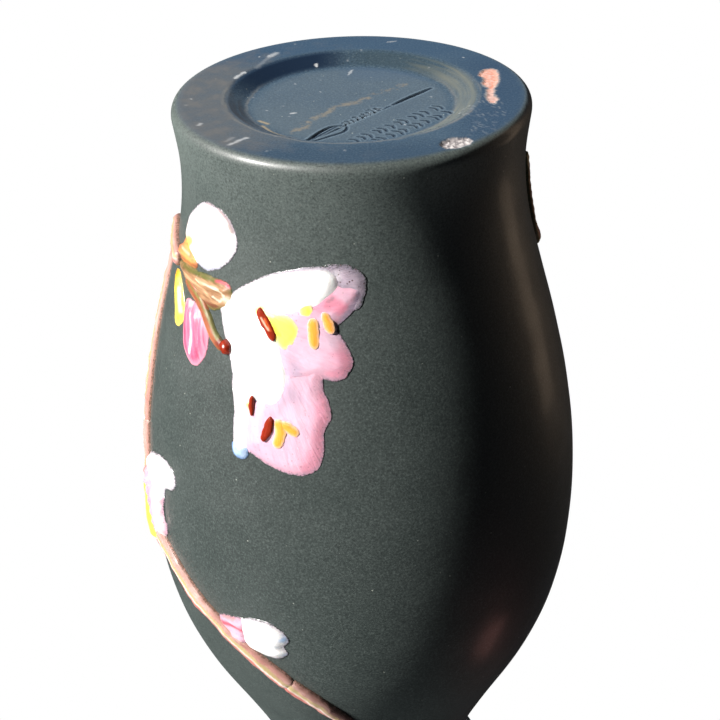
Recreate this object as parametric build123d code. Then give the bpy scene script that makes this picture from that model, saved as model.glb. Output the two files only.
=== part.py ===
"""A baluster vase in matt-glazed earthenware with a flowering branch laid on its wall in raised enamel.

Millimetres, +Z up. The origin is the centre of the foot on the table. Places on the wall are given as
(angle, height): the angle in degrees is 0 at -Y and grows towards +X, and the height is Z.
"""

import os
from math import cos, degrees, hypot, pi, radians, sin

from build123d import *

# ---------------------------------------------------------------- driving dimensions
FOOT_RADIUS = 45.0  # widest part of the foot; the wall stations below are shares of it
FOOT_CORNER = 3.2  # rounding between the foot's face and the wall
RECESS_MOUTH_RADIUS = 31.5  # where the foot's flat ring turns into the recess
RECESS_FLOOR_RADIUS = 26.0
RECESS_DEPTH = 2.6
RECESS_SOFTENING = 1.6  # radius that softens both edges of the recess
WALL = 4.6  # clay thickness of the side wall
NECK_WALL = 3.8
BASE_THICKNESS = 7.5  # clay between the recess and the inside floor
INSIDE_CORNER = 9.0
LIP_THICKNESS = 3.6

# Wall stations as (height, radius) in foot radii: foot, waist, belly, shoulder, neck and lip.
WALL_STATIONS = [
    (0.071, 1.000),
    (0.300, 0.976),
    (0.700, 1.009),
    (1.200, 1.135),
    (1.700, 1.255),
    (2.200, 1.330),
    (2.700, 1.344),
    (3.200, 1.286),
    (3.600, 1.162),
    (3.950, 1.000),
    (4.300, 0.835),
    (4.600, 0.722),
    (4.850, 0.686),
    (5.050, 0.735),
    (5.170, 0.822),
]

# Relief heights above the wall
PINK_PETAL = 1.1
WHITE_PETAL = 1.5
CALYX = 1.7
BRANCH = 2.1
LEAF = 1.2
HEART = 0.8  # heart and anthers, on top of the petals
BEAD = 2.4
SEAT = 0.02  # the relief is laid on by hand, so its back clears the wall by this much
PRISM_START = 12.0  # the cutting prisms start this far from the vase's axis
PRISM_END = 80.0

os.makedirs("parts", exist_ok=True)
stations = [(z * FOOT_RADIUS, r * FOOT_RADIUS) for z, r in WALL_STATIONS]
LIP_HEIGHT = stations[-1][0]


# ---------------------------------------------------------------- the wall's curve
wall_curve = Spline(
    *[(r, z) for z, r in stations], tangents=[(-0.16, 1.0), (0.62, 0.78)]
)
WALL_SAMPLES = [
    (p.Y, p.X) for p in (wall_curve.position_at(i / 400) for i in range(401))
]


def wall_radius(z):
    """Outside radius of the wall at height z."""
    below = [s for s in WALL_SAMPLES if s[0] <= z] or WALL_SAMPLES[:1]
    above = [s for s in WALL_SAMPLES if s[0] > z] or WALL_SAMPLES[-1:]
    (z0, r0), (z1, r1) = below[-1], above[0]
    return r0 if z1 <= z0 else r0 + (r1 - r0) * (z - z0) / (z1 - z0)


def wall_offset(distance, along):
    """A point of the wall's curve, moved out from the wall by distance."""
    p, t = wall_curve.position_at(along), wall_curve.tangent_at(along)
    return (p.X + distance * t.Y, p.Y - distance * t.X)


# ---------------------------------------------------------------- the thrown body
def make_body():
    """The clay shell: foot with its recess, wall, neck and rolled lip, hollow to the mouth."""
    inner_along = [0.11 + 0.89 * i / 11 for i in range(12)]
    inner = [
        wall_offset(-(WALL + (NECK_WALL - WALL) * max(0, s - 0.6) / 0.4), s)
        for s in inner_along
    ]
    lip_out = (stations[-1][1], LIP_HEIGHT)
    lip_in = wall_offset(-LIP_THICKNESS, 1.0)
    inner[-1] = lip_in
    tangent = wall_curve.tangent_at(1)
    lip_top = (
        (lip_out[0] + lip_in[0]) / 2 + tangent.X * LIP_THICKNESS / 2,
        (lip_out[1] + lip_in[1]) / 2 + tangent.Y * LIP_THICKNESS / 2,
    )
    floor_z = RECESS_DEPTH + BASE_THICKNESS
    floor_r = inner[0][0] - INSIDE_CORNER
    foot_inner = FOOT_RADIUS - FOOT_CORNER
    with BuildSketch() as section:
        with BuildLine():
            Line((0, RECESS_DEPTH), (RECESS_FLOOR_RADIUS, RECESS_DEPTH))
            Line((RECESS_FLOOR_RADIUS, RECESS_DEPTH), (RECESS_MOUTH_RADIUS, 0))
            Line((RECESS_MOUTH_RADIUS, 0), (foot_inner, 0))
            ThreePointArc(
                (foot_inner, 0),
                (foot_inner + FOOT_CORNER * sin(pi / 4), FOOT_CORNER * (1 - cos(pi / 4))),
                (stations[0][1], stations[0][0]),
            )
            add(wall_curve)
            ThreePointArc(lip_out, lip_top, lip_in)
            Spline(*reversed(inner))
            Spline(inner[0], (floor_r, floor_z), tangents=[(-0.1, -1), (-1, 0)])
            Line((floor_r, floor_z), (0, floor_z))
            Line((0, floor_z), (0, RECESS_DEPTH))
        make_face()
        edges_of_recess = [
            v
            for v in section.vertices()
            if abs(v.X - RECESS_FLOOR_RADIUS) < 0.01
            or abs(v.X - RECESS_MOUTH_RADIUS) < 0.01
        ]
        fillet(edges_of_recess, RECESS_SOFTENING)
    return revolve(Plane.XZ * section.sketch, Axis.Z)


# ---------------------------------------------------------------- relief on the wall
def filled(distance):
    """A solid of revolution that reaches distance beyond the wall."""
    alongs = [i / 24 for i in range(25)]
    outer = [wall_offset(distance, s) for s in alongs]
    with BuildSketch() as section:
        with BuildLine():
            if distance:
                Spline(*outer)
            else:
                add(wall_curve)
            Line(outer[-1], (0, outer[-1][1]))
            Line((0, outer[-1][1]), (0, outer[0][1]))
            Line((0, outer[0][1]), outer[0])
        make_face()
    return revolve(Plane.XZ * section.sketch, Axis.Z)


layers, cores = {}, {}


def layer(low, high):
    """The skin between two heights above the wall."""
    for d in (low, high):
        if d not in cores:
            cores[d] = filled(d)
    if (low, high) not in layers:
        layers[low, high] = cores[high] - cores[low]
    return layers[low, high]


def prism(outline, smooth=True):
    """A radial prism whose side walls cut the wall along an outline of (angle, height) points."""
    middle = sum(a for a, _ in outline) / len(outline)
    turn = radians(middle)
    plane = Plane(
        origin=(0, 0, 0),
        x_dir=(cos(turn), sin(turn), 0),
        z_dir=(sin(turn), -cos(turn), 0),
    )
    flat = [(wall_radius(z) * sin(radians(a - middle)), z) for a, z in outline]
    edge = Spline(*flat, periodic=True) if smooth else Polyline(*flat, close=True)
    face = plane.offset(PRISM_START) * make_face(Wire([edge]) if smooth else edge)
    return extrude(face, PRISM_END - PRISM_START)


def ribbon(line, widths):
    """The outline of a strip along (angle, height) points, with a width at each point."""
    left, right = [], []
    for i, ((angle, z), width) in enumerate(zip(line, widths)):
        before, after = line[max(i - 1, 0)], line[min(i + 1, len(line) - 1)]
        radius = wall_radius(z)
        dx = radians(after[0] - before[0]) * radius
        dz = after[1] - before[1]
        size = hypot(dx, dz)
        side_x, side_z = -dz / size * width / 2, dx / size * width / 2
        left.append((angle + degrees(side_x / radius), z + side_z))
        right.append((angle - degrees(side_x / radius), z - side_z))
    return left + right[::-1]


def dot(angle, z, radius, points=6):
    """A round outline about a place on the wall."""
    return around(
        (angle, z),
        [
            (radius * cos(2 * pi * i / points), radius * sin(2 * pi * i / points))
            for i in range(points)
        ],
    )


def around(centre, shape, turn=0.0):
    """An outline given in mm about a centre on the wall, turned by an angle in degrees."""
    c, s = cos(radians(turn)), sin(radians(turn))
    placed = []
    for x, y in shape:
        z = centre[1] + s * x + c * y
        placed.append((centre[0] + degrees((c * x - s * y) / wall_radius(z)), z))
    return placed


def relief(node, outlines, low, high, under=()):
    """Writes one node: each outline as a solid between two heights, cut back from the outlines in under."""
    solids = []
    for outline in outlines:
        piece = prism(outline) & layer(low, high)
        for other in under:
            piece -= prism(other)
        biggest = max(s.volume for s in piece.solids())
        solids += [s for s in piece.solids() if s.volume > 0.2 * biggest]
    shape = Compound(children=solids) if len(solids) > 1 else solids[0]
    export_step(shape, f"parts/{node}.step")


# ---------------------------------------------------------------- branches
# Each is a centre line of (angle, height) points with its widths.
TRUNK_LOWER = ribbon([(151, 13), (141, 16), (129, 22), (116, 31), (105, 43)], [7.5, 8, 7.2, 6.6, 6.2])
TRUNK_MIDDLE = ribbon([(105, 43), (98, 56), (93, 70), (90, 82), (88, 94)], [6.2, 5.6, 5.8, 5.2, 5.4])
TRUNK_UPPER = ribbon([(88, 94), (83.5, 103), (77, 112.5), (70, 120)], [5.4, 5.2, 5.6, 5.2])
SHOULDER_BRANCH = ribbon(
    [(70, 120), (60.5, 122), (51, 128), (42, 133), (31.5, 140.5), (22.5, 148.5)],
    [5.2, 4.8, 5.2, 4.6, 5.0, 4.6],
)
SHOULDER_TIP = ribbon([(22.5, 148.5), (13.5, 157), (7, 167), (4, 178)], [4.6, 4.2, 3.4, 2.4])
FOOT_TWIG = ribbon([(103, 46), (97, 37.5), (90, 34.5), (82, 36.5), (73, 38)], [4.0, 3.4, 3.4, 3.2, 3.0])
BACK_LIMB_LOWER = ribbon([(135, 19), (147, 31), (160, 41), (174, 48), (188, 51)], [6.0, 5.4, 5.6, 5.0, 4.8])
BACK_LIMB_LEFT = ribbon([(188, 51), (202, 52), (216, 49), (230, 43.5)], [4.8, 4.2, 4.4, 3.8])
BACK_TWIG = ribbon([(230, 43.5), (242, 40), (254, 41), (265, 44)], [3.8, 3.2, 3.0, 2.4])
BACK_LIMB_RISING = ribbon(
    [(172, 48), (178, 62), (179, 78), (184, 93), (186, 106)],
    [4.6, 4.4, 4.8, 4.0, 3.8],
)
BACK_LIMB_TIP = ribbon([(186, 106), (183, 119), (177, 131), (174, 144)], [3.8, 3.4, 3.0, 2.2])

# ---------------------------------------------------------------- the spray by the foot
FRONT_BUD = [
    (55, 17), (49, 16.5), (44, 17.5), (40.5, 20.5), (39.5, 24.5), (42, 28.5),
    (47, 32), (52.5, 34), (58, 34), (65, 33), (69.5, 29.6), (68, 25.5), (62.5, 21),
]
FRONT_BUD_CALYX = [(67, 28), (61, 29), (56, 33), (57, 36.5), (65, 37.3), (73, 37.5), (78, 36), (72, 33)]
YELLOW_SEPAL = [(75, 42), (71, 40.5), (66.5, 43), (63, 46), (61.5, 49.5), (64, 53), (67.5, 53), (70, 49)]
PINK_BUD = [
    (62.5, 45.5), (58, 43.5), (53, 44.5), (49, 47.5), (47.5, 52),
    (49, 56.5), (52.5, 59), (56.5, 58), (60.5, 54.5),
]
OLIVE_CALYX = [
    (73, 38.5), (65, 36.5), (56, 36), (48, 34.8), (42, 34.8),
    (39.5, 37.5), (44, 40), (51, 40.8), (62, 41),
]
BROWN_STEM = ribbon(
    [(63, 39.5), (55, 41.8), (49.5, 45.2), (45.5, 48.6), (41.5, 50.5)],
    [2.6, 2.4, 2.2, 2.4, 2.0],
)
STEM_BEAD = dot(39.8, 49.8, 2.0)

# ---------------------------------------------------------------- the front blossom
WHITE_UPPER = [
    (44, 42), (42, 38), (37, 34.3), (31, 31), (24, 28.4), (16, 26.5), (9.5, 26),
    (6, 28.3), (6, 31.8), (9.5, 35.2), (15, 37.6), (21, 38.5), (28, 39.3), (36, 42.5),
]
WHITE_MIDDLE = [
    (43.5, 42), (36, 41), (28, 39), (24.5, 41), (21.8, 45.5), (20, 50), (19, 55),
    (20, 59), (23.5, 61.6), (27.5, 61), (32, 62), (36.3, 60), (37.5, 54.5), (40.5, 49),
]
WHITE_LOWER = [
    (36.3, 59), (32.5, 60.5), (29.5, 61), (29.5, 66), (30, 71),
    (31, 75), (33.5, 75.6), (35, 71.5), (35.3, 65),
]
BLUE_TIP = [(29.9, 73), (32.5, 72.3), (35.2, 73), (34.8, 76), (32.4, 77), (30.3, 76)]
LILAC_TIP = [
    (9.5, 25.9), (4, 25.2), (0, 26.3), (-2.4, 28.6),
    (-2.2, 31), (1.5, 31.5), (5.5, 31.5), (6.5, 28.5),
]
PINK_UPPER = [
    (25, 39), (20, 36.5), (14, 34), (9, 31), (4, 30), (-1, 30.5), (-1, 33.8), (2.5, 37.2),
    (6, 40.2), (4.6, 43), (2.5, 46), (1.7, 48.8), (3.5, 51.6), (6.8, 52.8), (10.5, 52.6),
    (15, 54), (20, 55.2), (23, 51), (25, 45),
]
PINK_LOWER = [
    (21, 54.6), (15, 53.2), (10.5, 52), (9.9, 55.5), (8.3, 58.5), (7.8, 62), (9.5, 65.8),
    (9.6, 70.5), (11, 74.8), (14.2, 77), (18.5, 77.4), (23, 76.4), (27.5, 74.8),
    (31.5, 72.6), (32, 66), (29.5, 60), (24, 58),
]
FRONT_HEART = [(30.5, 38.2), (25, 38.5), (19.8, 39.2), (17.4, 41.8), (20.5, 46.2), (24, 44), (28, 41.3)]
YELLOW_DOT = dot(14.8, 36.4, 1.1)
RED_ANTHERS = [
    ribbon([(29.4, 38.6), (27, 41), (24.6, 43.8)], [2.2, 2.9, 2.0]),
    ribbon([(29.5, 59.4), (29.6, 61.6), (29.3, 63.8)], [1.1, 1.6, 1.2]),
    ribbon([(24.0, 64.3), (24.4, 66.8), (25.5, 69.2)], [2.0, 2.7, 1.8]),
]
ORANGE_ANTHERS = [
    ribbon([(12.7, 38.9), (12.7, 41.7), (12.3, 44.6)], [2.0, 2.8, 2.1]),
    ribbon([(9.3, 37.5), (8.5, 39.1), (7.5, 40.7)], [1.8, 2.5, 1.9]),
    ribbon([(21.4, 64.6), (20.9, 67.4), (21.7, 70.1)], [1.9, 2.5, 2.1]),
    ribbon([(19.6, 65.0), (18.3, 65.7), (16.6, 66.6)], [1.6, 2.2, 1.6]),
]

# ---------------------------------------------------------------- the bud on the side and on the shoulder
SIDE_BUD = [
    (79.6, 99.8), (75.6, 96.8), (70.5, 93.8), (64.5, 91.2), (58.5, 91.4), (56, 94.6), (58.2, 97.8),
    (62, 99.8), (63.6, 104), (68, 106), (74, 106), (78, 103.8), (80.2, 101.8),
]
SIDE_CALYX = [
    (63.6, 102), (63.9, 109), (62.2, 113), (63.5, 117), (67, 120),
    (71, 119.5), (75.5, 114.5), (79.5, 108), (80.5, 102), (72, 101),
]
YELLOW_LEAF = [(86, 110), (82.5, 114), (79.5, 120), (77.8, 128), (80, 131), (83.5, 126.5), (87, 118.5)]
SHOULDER_BUD = [
    (33.5, 127), (28.5, 125), (24, 125.5), (21.3, 127.5), (20.3, 130), (21.8, 132.6),
    (21, 135), (23.5, 137.8), (27.5, 138.4), (33, 137), (34.5, 132),
]
SHOULDER_CALYX = [
    (42, 130), (37.5, 127.6), (32.5, 126.8), (31.3, 131.5),
    (32.5, 136.8), (36, 137.6), (40, 134),
]

# -------------------------------------------------- open blossoms, leaves and buds on the sides and back
PETAL_INNER, PETAL_LENGTH, PETAL_WIDTH = 2.6, 15.5, 13.4
PETAL_SHAPE = [  # (share of the length, share of the half width), one notched, round-shouldered petal
    (0.0, -0.16), (0.28, -0.62), (0.62, -1.0), (0.9, -0.72), (1.0, -0.26), (0.93, 0.0),
    (1.0, 0.3), (0.88, 0.76), (0.6, 0.97), (0.27, 0.6), (0.0, 0.16),
]
BLOSSOMS = {
    "side_blossom": ((101, 143), 20, 1.0),
    "back_blossom": ((151, 76), 52, 1.06),
    "left_blossom": ((212, 78), 8, 1.12),
}
LEAF_SHAPE = [
    (0, 0.14), (4, 2.4), (10, 3.9), (16, 2.9), (21, 0.3),
    (16, -2.6), (10, -3.6), (4, -2.3), (0, -0.4),
]
BUD_SHAPE = [
    (0, 1.6), (3, 3.4), (7, 3.7), (10.4, 1.9), (11.4, -0.4),
    (9.4, -2.9), (6, -3.7), (2.4, -3.2), (0, -1.5),
]
BUD_CALYX_SHAPE = [(2.6, 3.0), (-0.6, 2.3), (-4.4, 0), (-0.6, -2.3), (2.6, -3.0), (1.4, 0)]
LEAVES = [((118, 36), 62), ((163, 47), 128), ((205, 47), -52), ((172, 147), 118), ((128, 152), 38)]
BACK_BUDS = [((236, 36.5), -50), ((185, 121.5), 24), ((4, 181), 102)]
RIGHT_LEAF = [
    (266, 45), (270.5, 41), (273.5, 33), (275, 24),
    (274, 16), (270.5, 19), (267.5, 26), (265.5, 34),
]


def petal_outlines(centre, turn, scale):
    """The five petals of an open blossom, each a little different in length."""
    outlines = []
    for i in range(5):
        length = PETAL_LENGTH * scale * (1 + 0.07 * sin(2.1 * i + turn))
        half = PETAL_WIDTH * scale / 2 * (1 + 0.05 * cos(1.7 * i + turn))
        shape = [(PETAL_INNER + u * length, v * half) for u, v in PETAL_SHAPE]
        outlines.append(around(centre, shape, turn + 72 * i))
    return outlines


def blossom(name, centre, turn, scale):
    """Five petal nodes, the heart and the ring of anthers."""
    petals = petal_outlines(centre, turn, scale)
    for i, petal in enumerate(petals):
        relief(f"{name}_petal_{i + 1}", [petal], SEAT, WHITE_PETAL, under=petals[:i])
    heart = around(
        centre,
        [
            (r * cos(radians(36 * i)), r * sin(radians(36 * i)))
            for i, r in enumerate([3.9, 3.0] * 5)
        ],
        turn,
    )
    relief(f"{name}_heart", [heart], WHITE_PETAL, WHITE_PETAL + HEART)
    anthers = []
    for i in range(5):
        reach = (6.4 + 1.1 * (i % 2)) * scale
        spin = turn + 72 * i + 14 * sin(3 * i + 1)
        tip = [(-1.0, 0.55), (0.9, 0.95), (1.9, 0), (0.9, -0.95), (-1.0, -0.55)]
        anthers.append(around(centre, [(reach + x, y) for x, y in tip], spin))
    relief(f"{name}_anthers", anthers, WHITE_PETAL, WHITE_PETAL + HEART)


# ---------------------------------------------------------------- every node
def main():
    export_step(make_body(), "parts/vase_body.step")

    relief("trunk_lower", [TRUNK_LOWER], SEAT, BRANCH)
    relief("trunk_middle", [TRUNK_MIDDLE], SEAT, BRANCH, under=[TRUNK_LOWER])
    relief("trunk_upper", [TRUNK_UPPER], SEAT, BRANCH, under=[TRUNK_MIDDLE])
    relief("shoulder_branch", [SHOULDER_BRANCH], SEAT, BRANCH, under=[TRUNK_UPPER])
    relief("shoulder_branch_tip", [SHOULDER_TIP], SEAT, BRANCH, under=[SHOULDER_BRANCH])
    relief("foot_twig", [FOOT_TWIG], SEAT, BRANCH, under=[TRUNK_LOWER, TRUNK_MIDDLE])
    relief("back_limb_lower", [BACK_LIMB_LOWER], SEAT, BRANCH, under=[TRUNK_LOWER])
    relief("back_limb_left", [BACK_LIMB_LEFT], SEAT, BRANCH, under=[BACK_LIMB_LOWER])
    relief("back_twig", [BACK_TWIG], SEAT, BRANCH, under=[BACK_LIMB_LEFT])
    relief("back_limb_rising", [BACK_LIMB_RISING], SEAT, BRANCH, under=[BACK_LIMB_LOWER])
    relief("back_limb_tip", [BACK_LIMB_TIP], SEAT, BRANCH, under=[BACK_LIMB_RISING])

    relief("front_bud_petal", [FRONT_BUD], SEAT, WHITE_PETAL)
    relief("front_bud_calyx", [FRONT_BUD_CALYX], SEAT, CALYX, under=[FRONT_BUD, FOOT_TWIG])
    relief("olive_calyx", [OLIVE_CALYX], SEAT, CALYX, under=[FRONT_BUD_CALYX, FOOT_TWIG, FRONT_BUD])
    relief("yellow_sepal", [YELLOW_SEPAL], SEAT, LEAF, under=[FOOT_TWIG, OLIVE_CALYX])
    relief("pink_bud", [PINK_BUD], SEAT, WHITE_PETAL, under=[YELLOW_SEPAL])
    relief("brown_stem", [BROWN_STEM], SEAT, CALYX, under=[OLIVE_CALYX, STEM_BEAD, PINK_BUD])
    relief("stem_bead", [STEM_BEAD], SEAT, BEAD)

    whites = [WHITE_UPPER, WHITE_MIDDLE, WHITE_LOWER]
    relief("front_petal_white_upper", [WHITE_UPPER], SEAT, WHITE_PETAL, under=[OLIVE_CALYX])
    relief(
        "front_petal_white_middle",
        [WHITE_MIDDLE],
        SEAT,
        WHITE_PETAL,
        under=[WHITE_UPPER, STEM_BEAD, OLIVE_CALYX],
    )
    relief("front_petal_white_lower", [WHITE_LOWER], SEAT, WHITE_PETAL, under=[WHITE_MIDDLE, BLUE_TIP])
    relief("front_petal_blue_tip", [BLUE_TIP], SEAT, WHITE_PETAL)
    relief("front_petal_lilac_tip", [LILAC_TIP], SEAT, PINK_PETAL, under=[WHITE_UPPER])
    relief("front_petal_pink_upper", [PINK_UPPER], SEAT, PINK_PETAL, under=[*whites, LILAC_TIP])
    relief(
        "front_petal_pink_lower",
        [PINK_LOWER],
        SEAT,
        PINK_PETAL,
        under=[*whites, PINK_UPPER, BLUE_TIP],
    )
    relief("front_heart", [FRONT_HEART, YELLOW_DOT], WHITE_PETAL, WHITE_PETAL + HEART, under=RED_ANTHERS[:1])
    relief("front_anthers_red", RED_ANTHERS, WHITE_PETAL, WHITE_PETAL + HEART)
    relief("front_anthers_orange", ORANGE_ANTHERS, PINK_PETAL, PINK_PETAL + HEART, under=RED_ANTHERS)

    relief("side_bud_petals", [SIDE_BUD], SEAT, WHITE_PETAL)
    relief("side_bud_calyx", [SIDE_CALYX], SEAT, CALYX, under=[SIDE_BUD, TRUNK_UPPER, SHOULDER_BRANCH])
    relief("side_leaf_yellow", [YELLOW_LEAF], SEAT, LEAF, under=[TRUNK_UPPER, SIDE_CALYX])
    relief("shoulder_bud_petals", [SHOULDER_BUD], SEAT, WHITE_PETAL, under=[SHOULDER_CALYX, SHOULDER_BRANCH])
    relief("shoulder_bud_calyx", [SHOULDER_CALYX], SEAT, CALYX, under=[SHOULDER_BRANCH])

    for name, (centre, turn, scale) in BLOSSOMS.items():
        blossom(name, centre, turn, scale)

    branches = [
        TRUNK_LOWER, TRUNK_MIDDLE, BACK_LIMB_LOWER, BACK_LIMB_LEFT, BACK_LIMB_RISING,
        BACK_LIMB_TIP, BACK_TWIG, SHOULDER_TIP,
    ]
    petals = [p for spec in BLOSSOMS.values() for p in petal_outlines(*spec)]
    leaves = [around(centre, LEAF_SHAPE, turn) for centre, turn in LEAVES]
    relief("back_leaves", leaves, SEAT, LEAF, under=branches + petals)
    buds = [around(centre, BUD_SHAPE, turn) for centre, turn in BACK_BUDS]
    calyxes = [around(centre, BUD_CALYX_SHAPE, turn) for centre, turn in BACK_BUDS]
    relief("back_bud_petals", buds, SEAT, WHITE_PETAL, under=calyxes + branches)
    relief("back_bud_calyxes", calyxes, SEAT, CALYX, under=branches)
    relief("right_leaf", [RIGHT_LEAF], SEAT, LEAF, under=[BACK_TWIG])


main()
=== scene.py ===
import itertools
from math import cos, degrees, hypot, pi, radians, sin, sqrt

import bpy
import numpy as np
from mathutils import Matrix, Vector, noise
from mathutils.geometry import delaunay_2d_cdt


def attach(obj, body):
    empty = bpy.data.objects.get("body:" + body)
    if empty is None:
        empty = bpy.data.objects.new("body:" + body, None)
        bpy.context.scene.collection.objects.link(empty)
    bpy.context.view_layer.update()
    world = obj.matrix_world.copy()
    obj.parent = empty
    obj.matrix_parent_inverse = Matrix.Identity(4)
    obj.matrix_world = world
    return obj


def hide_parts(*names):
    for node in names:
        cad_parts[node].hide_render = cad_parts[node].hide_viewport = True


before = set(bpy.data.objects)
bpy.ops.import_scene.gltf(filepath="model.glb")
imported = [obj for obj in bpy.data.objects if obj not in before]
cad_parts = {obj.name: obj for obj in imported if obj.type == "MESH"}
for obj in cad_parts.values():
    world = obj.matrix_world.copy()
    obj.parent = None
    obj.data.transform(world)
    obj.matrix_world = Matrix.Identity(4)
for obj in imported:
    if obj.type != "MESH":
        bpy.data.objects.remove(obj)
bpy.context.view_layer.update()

# ---------------------------------------------------------------- sizes, in millimetres until a mesh is made
MM = 0.001
FOOT_RADIUS = 45.0
FOOT_CORNER = 2.6
RECESS_FLOOR_RADIUS = 26.0
RECESS_MOUTH_RADIUS = 31.5
RECESS_SOFTENING = 1.0
RECESS_DEPTH = 2.6
WALL_THICKNESS = 4.6
NECK_THICKNESS = 3.8
INSIDE_FLOOR = 10.1
INSIDE_CORNER = 9.0
SEAM = 6.0  # height at which the foot's mesh hands over to the wall's
SUNK = 0.35  # how far every enamel piece is rooted in the clay
FOOT_TURNS, WALL_TURNS = 700, 400  # points around the foot's mesh and the wall's
FLOOR_HALF, FLOOR_DROP = 3.0, -0.0002  # metres

# (height, radius) in foot radii, as in the CAD model
WALL_STATIONS = np.array([
    (0.071, 1.000), (0.300, 0.976), (0.700, 1.009), (1.200, 1.135), (1.700, 1.255),
    (2.200, 1.330), (2.700, 1.344), (3.200, 1.286), (3.600, 1.162), (3.950, 1.000),
    (4.300, 0.835), (4.600, 0.722), (4.850, 0.686), (5.050, 0.735), (5.170, 0.822),
]) * FOOT_RADIUS
LIP_HEIGHT = WALL_STATIONS[-1, 0]


# ---------------------------------------------------------------- the wall's curve
def spline(x, y, at):
    """A natural cubic spline through the points, evaluated at the places in at."""
    n, h = len(x), np.diff(x)
    rows, right = np.eye(n), np.zeros(n)
    for i in range(1, n - 1):
        rows[i, i - 1:i + 2] = h[i - 1], 2 * (h[i - 1] + h[i]), h[i]
        right[i] = 6 * ((y[i + 1] - y[i]) / h[i] - (y[i] - y[i - 1]) / h[i - 1])
    bend = np.linalg.solve(rows, right)
    k = np.clip(np.searchsorted(x, at) - 1, 0, n - 2)
    a, b = (x[k + 1] - at) / h[k], (at - x[k]) / h[k]
    curved = (a**3 - a) * bend[k] + (b**3 - b) * bend[k + 1]
    return a * y[k] + b * y[k + 1] + curved * h[k] ** 2 / 6


WALL_Z = np.linspace(WALL_STATIONS[0, 0], LIP_HEIGHT, 1600)
WALL_R = spline(WALL_STATIONS[:, 0], WALL_STATIONS[:, 1], WALL_Z)
WALL_SLOPE = np.gradient(WALL_R, WALL_Z)


def radius_at(z):
    return np.interp(z, WALL_Z, WALL_R)


def on_wall(angle, z, lift):
    """Points over the wall, in metres: angle in degrees from -Y towards +X, z and lift in mm."""
    slope = np.interp(z, WALL_Z, WALL_SLOPE)
    flat = 1 / np.sqrt(1 + slope**2)
    out = radius_at(z) + lift * flat
    turn = np.radians(angle)
    return np.stack([out * np.sin(turn), -out * np.cos(turn), z - lift * slope * flat], -1) * MM


def ease(low, high, value):
    """0 where value is at low, 1 where it is at high, and a smooth step between."""
    t = np.clip((value - low) / (high - low), 0, 1)
    return t * t * (3 - 2 * t)


def fbm(points, scale, octaves=3, seed=0.0):
    """Fractal noise at points in mm, whose largest lumps are about scale mm across."""
    shift = Vector((seed * 17.3, seed * 5.1, seed * 9.7))
    return np.array([
        noise.fractal(Vector(p) / scale + shift, 0.6, 2.0, octaves) for p in points
    ])


# ---------------------------------------------------------------- making meshes
def add(name, data):
    thing = bpy.data.objects.new(name, data)
    bpy.context.scene.collection.objects.link(thing)
    return thing


def new_piece(name, points, faces, material, nodes, attributes=None, sharp_ring=None):
    """A smooth mesh object from points in metres, which stands for the CAD nodes."""
    mesh = bpy.data.meshes.new(name)
    mesh.from_pydata(np.asarray(points).tolist(), [], faces)
    mesh.polygons.foreach_set("use_smooth", [True] * len(mesh.polygons))
    kinds = {1: ("FLOAT", "value"), 3: ("FLOAT_VECTOR", "vector"), 4: ("FLOAT_COLOR", "color")}
    for key, values in (attributes or {}).items():
        kind, field = kinds[1 if values.ndim == 1 else values.shape[1]]
        layer = mesh.attributes.new(key, kind, "POINT")
        layer.data.foreach_set(field, values.astype(np.float32).ravel())
    if sharp_ring:
        for edge in mesh.edges:
            edge.use_edge_sharp = all(v in sharp_ring for v in edge.vertices)
    mesh.materials.append(material)
    mesh.validate()
    piece = add(name, mesh)
    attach(piece, "root")
    if nodes:
        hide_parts(*nodes)
    return piece


def lathe(profile, turns):
    """Ring points (in mm) and faces of a closed form; the profile starts and ends on the axis."""
    ring = np.linspace(0, 2 * pi, turns, endpoint=False)
    r, z = profile[1:-1, 0], profile[1:-1, 1]
    xs = np.outer(r, np.sin(ring))
    ys = -np.outer(r, np.cos(ring))
    body = np.stack([xs, ys, np.repeat(z[:, None], turns, 1)], -1).reshape(-1, 3)
    points = np.vstack([body, [0, 0, profile[0, 1]], [0, 0, profile[-1, 1]]])
    first, last = len(body), len(body) + 1
    nxt = (np.arange(turns) + 1) % turns
    faces = [(first, int(n), i) for i, n in enumerate(nxt)]
    for k in range(len(r) - 1):
        a, b = k * turns, (k + 1) * turns
        faces += [(a + i, int(a + n), int(b + n), b + i) for i, n in enumerate(nxt)]
    top = (len(r) - 1) * turns
    faces += [(last, top + i, int(top + n)) for i, n in enumerate(nxt)]
    return points, faces


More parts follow.
